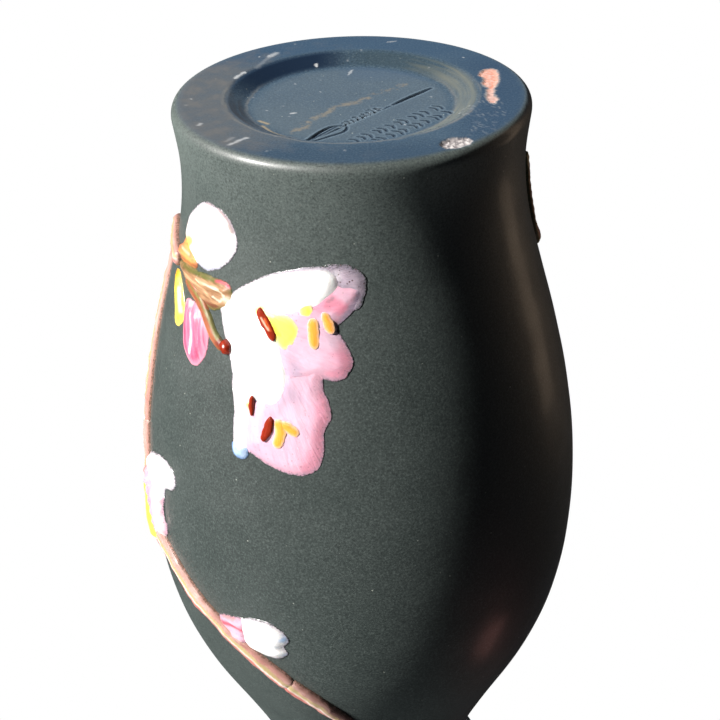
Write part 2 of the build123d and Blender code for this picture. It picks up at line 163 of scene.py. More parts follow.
# ---------------------------------------------------------------- node materials
class Nodes:
    """A short way to write a material's node tree."""

    def __init__(self, name):
        self.material = bpy.data.materials.new(name)
        self.material.use_nodes = True
        self.tree = self.material.node_tree
        self.shader = self.tree.nodes["Principled BSDF"]

    def link(self, value, socket):
        if isinstance(value, bpy.types.NodeSocket):
            self.tree.links.new(value, socket)
        elif value is not None:
            socket.default_value = value

    def set(self, **inputs):
        for key, value in inputs.items():
            self.link(value, self.shader.inputs[key.replace("_", " ")])

    def node(self, kind, output, inputs, **settings):
        """One output of a new node; inputs holds values or other outputs for its sockets."""
        node = self.tree.nodes.new("ShaderNode" + kind)
        for key, value in settings.items():
            setattr(node, key, value)
        for key, value in inputs.items():
            self.link(value, node.inputs[key])
        return node.outputs[output]

    def place(self):
        """Position in the object's own frame, in metres."""
        return self.node("TexCoord", "Object", {})

    def attribute(self, name, output="Fac"):
        return self.node("Attribute", output, {}, attribute_name=name)

    def scaled(self, vector, scale):
        return self.node("Mapping", "Vector", {"Vector": vector, "Scale": scale})

    def noise(self, vector, scale, detail=3.0, rough=0.55, distortion=0.0):
        inputs = {"Vector": vector, "Scale": scale, "Detail": detail, "Roughness": rough,
                  "Distortion": distortion}
        return self.node("TexNoise", "Fac", inputs)

    def cells(self, vector, scale):
        return self.node("TexVoronoi", "Distance", {"Vector": vector, "Scale": scale})

    def ramp(self, value, *stops):
        """A colour or grey ramp: stops are (place, colour or grey)."""
        node = self.tree.nodes.new("ShaderNodeValToRGB")
        self.link(value, node.inputs["Fac"])
        elements = node.color_ramp.elements
        while len(elements) < len(stops):
            elements.new(0.5)
        for element, (place, colour) in zip(elements, stops):
            element.position = place
            grey = not hasattr(colour, "__len__")
            element.color = (colour, colour, colour, 1) if grey else (*colour, 1)
        return node.outputs["Color"]

    def mix(self, factor, a, b):
        a, b = (c if isinstance(c, bpy.types.NodeSocket) else (*c, 1) for c in (a, b))
        return self.node("Mix", "Result", {"Factor": factor, "A": a, "B": b}, data_type="RGBA")

    def math(self, operation, a, b=None, clamp=False):
        return self.node("Math", 0, {0: a, 1: b}, operation=operation, use_clamp=clamp)

    def bump(self, height, strength, distance_mm, normal=None):
        inputs = {"Height": height, "Strength": strength, "Distance": distance_mm * MM, "Normal": normal}
        return self.node("Bump", "Normal", inputs)


def srgb(red, green, blue):
    """A colour given as it is seen, 0 to 255, as linear light."""
    return tuple(
        c / 12.92 if c <= 0.04045 else ((c + 0.055) / 1.055) ** 2.4
        for c in (red / 255, green / 255, blue / 255)
    )


CLAY_DARK = (58, 66, 62)


def glaze_material():
    """Satin dark grey-green glaze: bluer on the foot and paler low on the wall (that band partly painted
    light), with fine pale specks, and the foot's marks, wear, painted shade and painted highlights.
    """
    n = Nodes("body_glaze")
    place = n.place()
    height = n.math("MULTIPLY", n.node("SeparateXYZ", "Z", {0: place}), 1 / MM)
    cloud = n.noise(place, 55, 4)
    grain = n.noise(place, 1900, 3, 0.75)
    wall = n.mix(cloud, srgb(60, 70, 68), srgb(78, 87, 85))
    pale = n.mix(cloud, srgb(88, 99, 97), srgb(106, 116, 112))
    # Paler low on the wall, fading out by about 60 mm high: partly the glaze's own paler tone, partly painted
    # light standing for light thrown up from below.
    near_foot = n.ramp(n.math("DIVIDE", height, 60), (0.05, 1.0), (0.30, 0.45), (0.95, 0.0))
    uneven = n.math("MULTIPLY", near_foot, n.ramp(n.noise(place, 28, 3), (0.3, 0.55), (0.7, 1.0)))
    colour = n.mix(uneven, wall, pale)
    slate = n.mix(cloud, srgb(46, 68, 90), srgb(68, 88, 104))
    face = n.attribute("foot_face")
    colour = n.mix(face, colour, slate)
    colour = n.mix(n.ramp(grain, (0.34, 0.6), (0.5, 0.0)), colour, srgb(34, 40, 40))
    colour = n.mix(n.ramp(grain, (0.52, 0.0), (0.72, 0.42)), colour, srgb(132, 144, 140))
    specks = n.ramp(n.cells(place, 420), (0.055, 1.0), (0.10, 0.0))
    rare = n.ramp(n.noise(place, 330, 1), (0.60, 0.0), (0.68, 0.9))
    colour = n.mix(n.math("MULTIPLY", specks, rare), colour, srgb(190, 196, 186))
    # The foot's painted layer: real marks, chips and wear, and also painted shade and painted highlights.
    marks_and_shade = n.attribute("marks_and_shade", "Color")
    marks_and_shade_amount = n.attribute("marks_and_shade_amount")
    colour = n.mix(marks_and_shade_amount, colour, marks_and_shade)
    n.set(Base_Color=colour)
    rough = n.ramp(n.noise(place, 90, 4), (0.3, 0.46), (0.7, 0.58))
    rough = n.mix(marks_and_shade_amount, rough, (0.8, 0.8, 0.8))
    shine = n.math("SUBTRACT", 0.9, n.math("MULTIPLY", face, 0.6))
    n.set(Roughness=rough, Specular_IOR_Level=shine, Diffuse_Roughness=0.9)
    n.set(Coat_Weight=n.math("SUBTRACT", 0.3, n.math("MULTIPLY", face, 0.3)), Coat_Roughness=0.2)
    skin = n.bump(n.noise(place, 900, 3, 0.6), 0.25, 0.12)
    n.set(Normal=n.bump(n.noise(place, 160, 2), 0.15, 0.4, skin))
    return n.material


def enamel_material(name, light, deep, border, rough=0.16, streaks=0.5, under=CLAY_DARK, fleck=0.0,
                    reach=1.0, stripes=0.0, feather=1.0, shine=0.2, rim=None):
    """Thick glossy enamel, streaked along each stroke, that thins and feathers out over the clay at its edge.

    Colours are given as seen, 0 to 255. border is the colour within reach mm of the edge; stripes draws light
    lines along the piece; feather is how wide the torn, see-through edge is, and rim its colour."""
    n = Nodes(name)
    light, deep, border, under, rim = (srgb(*c) for c in (light, deep, border, under, rim or border))
    place = n.place()
    local = n.attribute("local", "Vector")
    edge = n.attribute("edge")
    fan = n.noise(n.scaled(local, (0.10, 0.55, 1.4)), 1.0, 4, 0.6, 0.4)
    colour = n.mix(n.ramp(fan, (0.28, 0.0), (0.70, 1.0)), deep, light)
    colour = n.mix(streaks, light, colour)
    if stripes:
        lines = n.noise(n.scaled(local, (0.05, 1.5, 0.0)), 1.0, 1)
        drawn = n.math("MULTIPLY", n.ramp(lines, (0.46, 0.0), (0.62, 1.0)), stripes)
        colour = n.mix(drawn, colour, srgb(236, 190, 205))
    mottle = n.ramp(n.noise(place, 420, 3), (0.35, 0.0), (0.75, 0.35))
    colour = n.mix(mottle, colour, light)

    def wavered(value, amount):
        return n.math("ADD", edge, n.math("MULTIPLY", n.math("SUBTRACT", value, 0.5), amount))

    near = n.math("DIVIDE", wavered(n.noise(place, 320, 3), 2.2 * reach), 2.4 * reach, True)
    colour = n.mix(n.ramp(near, (0.0, 0.9), (1.0, 0.0)), colour, border)
    colour = n.mix(n.attribute("tint_amount"), colour, n.attribute("tint", "Color"))
    torn = n.math("DIVIDE", wavered(n.noise(place, 1500, 3, 0.7), 1.2 * feather), 1.1 * feather)
    veil = n.ramp(torn, (0.05, 1.0), (0.40, 0.50), (0.95, 0.0))
    colour = n.mix(veil, colour, n.mix(0.62, under, rim))
    bare = n.ramp(torn, (0.04, 1.0), (0.30, 0.0))
    colour = n.mix(bare, colour, under)
    if fleck:
        flecks = n.ramp(n.cells(place, 900), (0.12, 1.0), (0.24, 0.0))
        some = n.ramp(n.noise(place, 260, 2), (0.44, 0.0), (0.58, fleck))
        colour = n.mix(n.math("MULTIPLY", flecks, some), colour, srgb(88, 62, 62))
    n.set(Base_Color=colour, Roughness=n.ramp(n.noise(place, 260, 3), (0.3, rough), (0.7, rough + 0.16)))
    n.set(Specular_IOR_Level=0.45, Coat_Weight=shine, Coat_Roughness=0.12)
    n.set(Subsurface_Weight=0.08, Subsurface_Radius=(0.0012, 0.0008, 0.0006))
    strokes = n.bump(fan, 0.35, 0.5)
    n.set(Normal=n.bump(n.noise(place, 700, 2), 0.2, 0.12, strokes))
    return n.material


WHITE = enamel_material(
    "white_enamel", (250, 249, 247), (236, 233, 236), (216, 208, 216), streaks=0.4, reach=0.45,
    feather=1.4, rim=(184, 174, 190), rough=0.26, shine=0.1)
PINK = enamel_material(
    "pink_enamel", (224, 186, 204), (216, 168, 190), (226, 160, 178), streaks=0.8, fleck=0.35, reach=1.5,
    feather=1.5, rim=(184, 160, 182), rough=0.26, shine=0.1)
HOT_PINK = enamel_material(
    "hot_pink_enamel", (226, 112, 142), (214, 78, 112), (222, 150, 170), streaks=0.9, stripes=0.35, reach=0.8,
    feather=0.6, rough=0.3, shine=0.0)
YELLOW = enamel_material(
    "yellow_enamel", (252, 232, 100), (244, 208, 66), (238, 216, 116), reach=0.4, feather=0.5, rough=0.24)
HEART = enamel_material(
    "heart_enamel", (253, 238, 112), (248, 226, 84), (250, 232, 150), reach=0.5, under=(234, 206, 204),
    feather=0.8, rough=0.3, shine=0.0)
STAMEN = enamel_material(
    "stamen_enamel", (244, 170, 66), (240, 158, 54), (240, 186, 120), reach=0.4, under=(222, 184, 200),
    feather=0.9, rough=0.4, shine=0.0, rim=(242, 196, 140))
ORANGE = enamel_material(
    "orange_enamel", (248, 160, 34), (236, 132, 26), (240, 170, 80), reach=0.3, feather=0.4)
SALMON = enamel_material(
    "salmon_enamel", (244, 176, 104), (214, 122, 66), (170, 100, 62), streaks=0.8, feather=0.5, rough=0.3)
RED = enamel_material(
    "red_enamel", (156, 50, 28), (92, 18, 12), (110, 30, 20), rough=0.1, reach=0.3, feather=0.3)
OLIVE = enamel_material(
    "olive_enamel", (188, 146, 108), (104, 70, 48), (84, 92, 46), streaks=1.0, reach=0.6, feather=0.5,
    rough=0.36, shine=0.0)
BROWN = enamel_material(
    "brown_enamel", (166, 98, 68), (112, 56, 38), (104, 106, 60), streaks=0.9, reach=0.45, feather=0.4,
    rough=0.36, shine=0.0)
BRANCH = enamel_material(
    "branch_enamel", (214, 176, 168), (176, 114, 104), (180, 134, 124), streaks=0.9,
    under=(104, 84, 70), reach=0.4, feather=0.7, rough=0.34, shine=0.0)
LEAF = enamel_material("leaf_enamel", (160, 160, 90), (92, 100, 50), (120, 112, 62), streaks=0.9, reach=0.6)
BLUE = enamel_material("blue_enamel", (186, 208, 232), (116, 152, 200), (110, 140, 186), reach=0.5)
LILAC = enamel_material(
    "lilac_enamel", (196, 178, 192), (164, 150, 168), (136, 126, 142), streaks=0.8, fleck=0.9, reach=0.9,
    feather=2.4, rim=(150, 140, 156), rough=0.34, shine=0.0)
GLAZE = glaze_material()


# ---------------------------------------------------------------- the foot
def curve_part(a, b, c, d, count):
    """Points on the smooth curve from b up to c, whose neighbours are a and d."""
    t = np.linspace(0, 1, count, endpoint=False)[:, None]
    cubic = (3 * b - a - 3 * c + d) * t**3
    return 0.5 * (2 * b + (c - a) * t + (2 * a - 5 * b + 4 * c - d) * t**2 + cubic)


def open_curve(points):
    """A smooth line through three or more points."""
    p = np.asarray(points, float)
    if len(p) < 3:
        return p
    padded = np.vstack([2 * p[0] - p[1], p, 2 * p[-1] - p[-2]])
    parts = zip(padded, padded[1:], padded[2:], padded[3:])
    return np.vstack([*(curve_part(*part, 6) for part in parts), p[-1:]])


def to_line(xy, line):
    """Distance of each point to a polyline, and how far along it (0 to 1) the nearest point is."""
    best = np.full(len(xy), 1e9)
    share = np.zeros(len(xy))
    line = np.asarray(line, float)
    lengths = np.hypot(*np.diff(line, axis=0).T)
    before = np.concatenate([[0], np.cumsum(lengths)])
    for k, (a, b) in enumerate(zip(line[:-1], line[1:])):
        ab = b - a
        t = np.clip(((xy - a) @ ab) / (ab @ ab), 0, 1)
        d = np.hypot(*(xy - a - t[:, None] * ab).T)
        closer = d < best
        best[closer] = d[closer]
        share[closer] = (before[k] + t[closer] * lengths[k]) / before[-1]
    return best, share


def paint_over(marks_and_shade, amount, mask, colour):
    """Lays a colour, 0 to 255 as seen, over a layer of painted colour where mask is above 0; returns its new
    strength.
    """
    keep = np.maximum(amount, mask)
    share = (mask / np.maximum(keep, 1e-6))[:, None]
    marks_and_shade[:, :3] = marks_and_shade[:, :3] * (1 - share) + np.array(srgb(*colour)) * share
    return keep


# Places on the foot, in mm, in the plane of X and Y.
STEM_START, STEM_END = (12.7, -26.9), (-20.3, 8.1)
SPRIG = [  # strokes as ((share of the stem, mm beside it), ...), half width, depth
    (((0.0, 0.0), (0.35, 0.05), (0.70, -0.05)), 0.42, 0.30),
    (((0.70, 0.0), (0.85, 0.15), (1.0, 0.0)), 0.62, 0.60),
    (((0.0, 0.0), (0.10, 0.9), (0.20, 2.0), (0.28, 2.1), (0.33, 0.5)), 0.62, 0.60),
    (((0.03, -0.1), (0.14, 0.5), (0.24, 1.0), (0.30, 1.1)), 0.34, 0.34),
    (((0.05, -0.3), (0.18, -1.5), (0.27, -2.2), (0.32, -1.2), (0.33, 0.0)), 0.46, 0.40),
    (((0.62, 0.7), (0.585, 1.7), (0.555, 3.0)), 0.44, 0.50),
]
SPRIG_LEAVES = 9  # small leaves between a third and two thirds of the stem
TICK_ROWS = [((-0.2, -24.8), (-21.6, -4.9), 13), ((-3.6, -27.0), (-23.0, -9.2), 12)]
SCRATCHES = [  # (line, half width, strength)
    ([(24.4, 20.4), (21.6, 27.5), (19.3, 30.8)], 0.8, 0.12),
    ([(21.4, 28.4), (19.6, 31.0)], 0.9, 0.4),
    ([(29.8, 12.7), (28.4, 15.2), (27.6, 16.9)], 0.45, 0.7),
    ([(28.1, -30.7), (26.6, -28.6), (24.6, -27.0)], 0.45, 0.5),
    ([(29.4, -28.6), (28.0, -26.8)], 0.35, 0.15),
    ([(0.5, 19.7), (-0.4, 23.1)], 0.2, 0.4),
    ([(9.1, 25.6), (9.0, 26.0)], 0.3, 0.9),
    ([(36.4, -18.2), (36.2, -17.6)], 0.4, 0.4),
    ([(-10.6, 37.0), (-12.6, 37.6)], 0.35, 0.3),
    ([(14.9, -6.3), (13.9, -6.0)], 0.25, 0.5),
]
SCRATCH_FAN = 60  # fine scratches that fan out beside the edge chip
PALE_DOTS = 26
TAN_LINES = [
    ([(21.6, -14.2), (19.4, -18.6), (15.8, -23.1)], 0.42),
    ([(22.6, -10.6), (20.4, -12.6)], 0.35),
]
PALE_SWEEP = [(15.1, -18.1), (11.7, -15.9), (10.4, -11.4), (6.2, -6.8), (3.1, -2.2), (-2.0, 0.4),
              (-7.2, 6.0), (-13.9, 11.4)]
LONG_CHIP = [
    (-35.6, 14.0), (-33.6, 12.6), (-32.9, 9.6), (-33.6, 6.6), (-33.2, 3.0), (-33.9, -0.6), (-33.0, -4.6),
    (-33.4, -8.6), (-35.0, -10.2), (-36.2, -7.4), (-35.4, -3.6), (-36.2, 0.6), (-37.2, 5.0), (-37.9, 9.8),
    (-37.2, 13.2),
]
EDGE_CHIP = [
    (-19.9, -34.6), (-21.0, -32.0), (-23.4, -30.5), (-26.2, -30.7), (-27.7, -32.6), (-26.6, -34.6),
    (-23.8, -36.6), (-21.0, -36.8),
]
CHIP_PINK = (216, 160, 142)
CHIP_GREY = (160, 154, 154)
TAN = (150, 138, 116)
SCRATCH_WHITE = (206, 208, 210)
# Painted shade inside the sprig's grooves, and the pale of the clay pushed up beside them with a painted
# highlight.
GROOVE_SHADE = (14, 28, 46)
RIDGE_CLAY_AND_HIGHLIGHT = (118, 134, 146)


def depth_inside(xy, outline):
    """How far inside a smooth outline a point is, in mm; negative outside."""
    loop = closed_curve(outline, 0.4)
    near = (abs(xy - loop.mean(0)).max(1) < 16)
    depth = np.full(len(xy), -9.0)
    d = to_loop(xy[near], loop)
    depth[near] = np.where(inside(xy[near], loop), d, -d)
    return depth


def sprig_strokes():
    """A plain leafy stem, and two rows of crescent tool marks beside it: (line, half width, depth)."""
    start, end = np.array(STEM_START), np.array(STEM_END)
    along = (end - start) / np.hypot(*(end - start))
    side = np.array([along[1], -along[0]])
    strokes = [
        ([start + (end - start) * s + side * t for s, t in line], half, deep) for line, half, deep in SPRIG
    ]
    for i in range(SPRIG_LEAVES):
        foot = start + (end - start) * (0.345 + 0.031 * i) + side * 0.15
        size = 1.55 + 0.5 * sin(2.6 * i)
        bend = along * (0.5 + 0.4 * cos(1.7 * i))
        strokes.append(([foot, foot + side * size * 0.6 + bend, foot + side * size + bend * 0.4], 0.46, 0.55))
        vein = [foot + side * size * 0.5 + bend * 0.8, foot + side * size * 0.3 + bend * 1.9]
        strokes.append((vein, 0.30, 0.34))
    for first, last, count in TICK_ROWS:
        for i in range(count):
            share = (i + 0.2 * sin(2.4 * i + count)) / (count - 1)
            at = np.array(first) + (np.array(last) - np.array(first)) * share
            size = 1.5 + 0.25 * sin(3.7 * i + count)
            strokes.append(([at - side * size, at + along * 0.75, at + side * size], 0.42, 0.42))
    return strokes


def foot_profile():
    """The foot from the recess's centre out over the ring and the corner, up to the seam and back inside."""
    flat = np.concatenate([np.arange(0, 8, 0.6), np.arange(8, 31, 0.3), np.arange(31, 41.5, 0.42), [41.8]])
    near = flat[:, None] + np.linspace(-RECESS_SOFTENING, RECESS_SOFTENING, 9)
    rise = np.clip((near - RECESS_FLOOR_RADIUS) / (RECESS_MOUTH_RADIUS - RECESS_FLOOR_RADIUS), 0, 1).mean(1)
    face = list(zip(flat, RECESS_DEPTH * (1 - rise)))
    inner = FOOT_RADIUS - FOOT_CORNER
    corner = [
        (inner + FOOT_CORNER * sin(t), FOOT_CORNER * (1 - cos(t)))
        for t in np.linspace(0, pi / 2, 12)[1:]
    ]
    wall = [(float(radius_at(z)), z) for z in np.linspace(FOOT_CORNER, SEAM, 8)[1:]]
    back = [(r, SEAM) for r in (38, 20, 0)]
    return np.array(face + corner + wall + back)


def make_foot():
    points, faces = lathe(foot_profile(), FOOT_TURNS)
    xy, z, radial = points[:, :2], points[:, 2], np.hypot(points[:, 0], points[:, 1])
    outside = (z < SEAM - 0.01) & ~((radial < 39) & (z > RECESS_DEPTH + 0.1))
    face = ease(FOOT_RADIUS - 0.35 * FOOT_CORNER, FOOT_RADIUS - FOOT_CORNER, radial) * outside
    lumps = fbm(points, 14.0, 3, 1.0)
    fine = fbm(points, 1.3, 2, 2.0)
    sink = 0.10 * (lumps - lumps.max()) * face
    sink += 0.03 * fine * face * ease(0.0, 0.3, -sink)
    # One painted layer on the foot: its real marks, chips, tan lines and wear, and also painted shade and
    # painted highlights.
    marks_and_shade = np.zeros((len(points), 4))
    marks_and_shade[:, 3] = 1
    amount = np.zeros(len(points))

    def paint(mask, colour, where=face):
        nonlocal amount
        amount = paint_over(marks_and_shade, amount, np.clip(mask * where, 0, 1), colour)

    smear = fbm(points, 5.0, 3, 4.0)
    turning = fbm(np.column_stack([radial * 6, xy * 0.35]), 5.0, 3, 8.0)
    sink += 0.02 * turning * face
    x, y = xy.T
    # Lighter grey towards +X: partly the ring's own grey-brown glaze, partly painted light on the side the
    # key light comes from.
    paint(0.9 * ease(0, 34, x) * (0.85 + 0.3 * smear) * ease(27, 33, radial), (90, 92, 94))
    paint(0.45 * ease(-14, 14, x) * ease(20, -10, y) * ease(27, 24, radial), (84, 96, 104))
    # Darker at the front and darker navy towards -X: painted shade where the rim curves away from the light.
    paint(0.5 * ease(-27, -38, y) * ease(30, 34, radial), (36, 58, 80))
    paint(0.5 * ease(-14, -36, x) * ease(30, 34, radial), (26, 54, 84))
    paint(0.5 * ease(14, 32, y) * ease(30, 34, radial), (40, 68, 96))
    paint(0.5 * ease(4, 20, y) * ease(14, -4, x) * ease(26, 23, radial), (40, 74, 110))
    paint(0.3 * ease(26, 22, radial), (100, 110, 116))
    worn = ease(0.0, 0.7, smear + 0.6 * turning) * ease(24.0, 33.0, radial)
    paint(0.10 * worn * ease(-20, 25, x), (126, 120, 114))
    slope = ease(4.0, 1.6, abs(radial - 28.8))
    # Painted light and shade on the recess's sloping side: lighter on the -X slope, which faces the key
    # light, a deep painted shadow on the back, and painted shade on the +X slopes, which face away.
    paint(slope * ease(-4, -20, x) * (0.7 + 0.4 * turning), (104, 108, 102))
    paint(slope * ease(-2, 16, y) * ease(-4, 10, x) * 0.97, (2, 30, 56))
    paint(slope * ease(10, 24, y) * ease(6, -8, x) * 0.6, (50, 68, 76))
    paint(slope * ease(8, 24, x) * ease(8, -6, y) * (0.5 + 0.5 * turning), (70, 72, 78))
    for edge_radius, strength in ((RECESS_MOUTH_RADIUS + 0.4, 0.5), (RECESS_FLOOR_RADIUS + 0.3, 0.35)):
        line = ease(0.7, 0.1, abs(radial - edge_radius + 0.5 * smear))
        paint(line * strength * (0.7 + 0.8 * turning) * ease(18, 2, y), (132, 128, 120))
    d, _ = to_line(xy, open_curve(PALE_SWEEP))
    paint(ease(1.7, 0.1, d + 0.9 * fine) * ease(-0.3, 0.4, fbm(points, 2.2, 3, 9.0)) * 0.5, TAN)
    for line, half in TAN_LINES:
        d, _ = to_line(xy, line)
        paint(ease(half + 0.35, half * 0.4, d) * 0.9, TAN)
        sink -= 0.12 * ease(half + 0.3, 0, d) * face
    for line, half, depth in sprig_strokes():
        d, t = to_line(xy, open_curve(line))
        taper = 0.35 + 0.65 * np.sin(pi * np.clip(t, 0.02, 0.98)) ** 0.6
        wide = half * (0.6 + 0.4 * taper)
        groove = ease(wide * 1.25, wide * 0.2, d) * face
        ridge = np.exp(-(((d - wide * 1.7) / (0.45 * wide)) ** 2)) * face
        sink += depth * groove * taper - 0.3 * depth * ridge
        # Pale clay ridges with a painted highlight, and painted shade in the grooves.
        paint(ridge * 0.55, RIDGE_CLAY_AND_HIGHLIGHT)
        paint(groove * 0.8, GROOVE_SHADE)
    for line, half, strength in SCRATCHES:
        d, _ = to_line(xy, line)
        paint(ease(half + 0.3, 0.1, d + 0.35 * fine) * strength, SCRATCH_WHITE)
    spread = np.random.default_rng(7)
    for _ in range(SCRATCH_FAN):
        start = np.array([-26.5 - 10 * spread.random(), -30.0 + 22 * spread.random()])
        way = radians(200 + 70 * spread.random())
        end = start + (0.4 + 1.2 * spread.random()) * np.array([cos(way), sin(way)])
        d, _ = to_line(xy, [start, end])
        paint(ease(0.3, 0.05, d) * (0.06 + 0.12 * spread.random()), SCRATCH_WHITE)
    for _ in range(PALE_DOTS):
        way, reach = 2 * pi * spread.random(), 4 + 38 * sqrt(spread.random())
        at = np.array([reach * cos(way), reach * sin(way)])
        d, _ = to_line(xy, [at, at + 0.15])
        paint(ease(0.34, 0.1, d) * (0.15 + 0.45 * spread.random()), SCRATCH_WHITE)
    ragged = 0.5 * fbm(points, 1.8, 3, 5.0)
    rough = fbm(points, 0.9, 3, 6.0)
    top = outside * ease(2.4, 1.2, z)
    chip = depth_inside(xy, LONG_CHIP) + ragged
    sink += ease(0.0, 0.5, chip) * (0.42 + 0.22 * rough) * face
    paint(ease(-0.5, 0.1, chip) * 0.5, (196, 184, 176))
    paint(ease(0.0, 0.3, chip) * (0.9 + 0.2 * rough), CHIP_PINK)
    paint(ease(0.0, 0.3, chip) * ease(4, -6, y) * 0.7, (186, 164, 158))
    paint(ease(0.1, 0.5, chip) * ease(0.1, -0.4, rough) * 0.8, (228, 190, 176))
    paint(ease(0.5, 1.3, chip) * ease(0.0, 0.5, rough) * 0.7, (206, 130, 108))
    chip = depth_inside(xy, EDGE_CHIP) + 0.7 * ragged
    bite = top * ease(-0.1, 0.6, chip)
    sink += bite * (0.6 + 0.35 * rough)
    paint(ease(0.0, 0.35, chip), CHIP_GREY, top)
    paint(ease(0.05, 0.35, rough) * 0.7, (104, 98, 102), bite)
    paint(ease(-0.1, -0.4, rough) * 0.9, (222, 216, 214), bite)
    out = np.stack([xy[:, 0], xy[:, 1], 0 * z], -1)
    out /= np.maximum(np.linalg.norm(out, axis=1, keepdims=True), 1e-6)
    lean = ease(FOOT_RADIUS - FOOT_CORNER, FOOT_RADIUS, radial)[:, None] * outside[:, None]
    inward = np.array([0, 0, 1]) * (1 - lean) - out * lean
    sink = np.where(outside, np.maximum(sink, -0.05 * (radial < 31)), 0)
    points = points + inward * sink[:, None]
    attributes = {"foot_face": face.astype(float), "marks_and_shade": marks_and_shade, "marks_and_shade_amount": amount * outside}
    seam = set(np.flatnonzero((z > SEAM - 0.01) & (radial > 40)).tolist())
    new_piece("foot", points * MM, faces, GLAZE, ["vase_body"], attributes, seam)


# ---------------------------------------------------------------- the wall, neck, lip and inside
def wall_profile():
    """From the hidden back of the foot, up the outside, over the lip and down the inside."""
    z_out = np.concatenate([np.linspace(SEAM, 200, 118), np.linspace(201.5, LIP_HEIGHT, 34)])
    outer = [(float(radius_at(z)), float(z)) for z in z_out]
    slope = float(WALL_SLOPE[-1])
    flat = 1 / hypot(1, slope)
    normal = np.array([flat, -slope * flat])
    tangent = np.array([slope * flat, flat])
    rim = np.array(outer[-1])
    middle = rim - normal * NECK_THICKNESS / 2
    lip = [
        tuple(middle + (normal * cos(t) + tangent * sin(t)) * NECK_THICKNESS / 2)
        for t in np.linspace(0, pi, 12)[1:-1]
    ]
    inner = []
    for z in np.linspace(LIP_HEIGHT, 24, 46):
        k = float(np.interp(z, WALL_Z, WALL_SLOPE))
        f = 1 / hypot(1, k)
        thick = WALL_THICKNESS + (NECK_THICKNESS - WALL_THICKNESS) * float(ease(150, 215, z))
        inner.append((float(radius_at(z)) - thick * f, z + thick * k * f))
    reach = inner[-1][0]
    corner = [
        (reach - INSIDE_CORNER * (1 - cos(t)), INSIDE_FLOOR + (inner[-1][1] - INSIDE_FLOOR) * (1 - sin(t)))
        for t in np.linspace(0, pi / 2, 8)[1:]
    ]
    floor = [(r, INSIDE_FLOOR) for r in (22, 12, 4, 0)]
    return np.array([(0, SEAM), (20, SEAM), (38, SEAM)] + outer + lip + inner + corner + floor)


def make_wall():
    """Throwing leaves faint level ripples, and hand-smoothing leaves soft flats."""
    points, faces = lathe(wall_profile(), WALL_TURNS)
    z, radial = points[:, 2], np.hypot(points[:, 0], points[:, 1])
    outside = (radial > radius_at(z) - 0.5) & (z > SEAM + 0.01) & (z < LIP_HEIGHT)
    fade = ease(SEAM, SEAM + 8, z) * outside
    ripple = 0.02 * np.sin(z / 2.9 + 0.7 * np.sin(z / 11)) + 0.05 * fbm(points, 26.0, 2, 3.0)
    scale = 1 + (ripple * fade) / np.maximum(radial, 1)
    points = points * np.stack([scale, scale, np.ones_like(scale)], -1)
    none = np.zeros(len(points))
    attributes = {"foot_face": none, "marks_and_shade": np.zeros((len(points), 4)), "marks_and_shade_amount": none}
    seam = set(np.flatnonzero((z < SEAM + 0.01) & (radial > 40)).tolist())
    new_piece("wall", points * MM, faces, GLAZE, ["vase_body"], attributes, seam)


# ---------------------------------------------------------------- raised enamel
def closed_curve(points, step):
    """A smooth closed line through the points, about one point every step mm."""
    p = np.asarray(points, float)
    out = []
    for a, b, c, d in zip(np.roll(p, 1, 0), p, np.roll(p, -1, 0), np.roll(p, -2, 0)):
        out.append(curve_part(a, b, c, d, max(2, int(np.hypot(*(c - b)) / step) + 1)))
    return np.vstack(out)


def outward(loop):
    """The unit normals of a closed loop that point out of it."""
    turn = np.roll(loop, -1, 0) - np.roll(loop, 1, 0)
    area = np.sum(loop[:, 0] * np.roll(loop[:, 1], -1) - loop[:, 1] * np.roll(loop[:, 0], -1))
    unit = np.stack([turn[:, 1], -turn[:, 0]], 1) / np.maximum(np.hypot(*turn.T), 1e-9)[:, None]
    return unit * np.sign(area)


def inside(points, loop):
    """Which points lie inside the closed loop."""
    x, y = points[:, 0:1], points[:, 1:2]
    x0, y0 = loop[:, 0], loop[:, 1]
    x1, y1 = np.roll(x0, -1), np.roll(y0, -1)
    spans = (y0 > y) != (y1 > y)
    with np.errstate(divide="ignore", invalid="ignore"):
        cross = x < (x1 - x0) * (y - y0) / (y1 - y0) + x0
    return (spans & cross).sum(1) % 2 == 1


def to_loop(points, loop):
    """Distance from each point to the closed loop."""
    a, b = loop, np.roll(loop, -1, 0)
    ab = b - a
    length = np.maximum((ab**2).sum(1), 1e-9)
    best = np.full(len(points), 1e9)
    for k in range(0, len(points), 400):
        p = points[k:k + 400, None]
        t = np.clip(((p - a) * ab).sum(2) / length, 0, 1)
        best[k:k + 400] = np.sqrt(((p - a - t[..., None] * ab) ** 2).sum(2)).min(1)
    return best


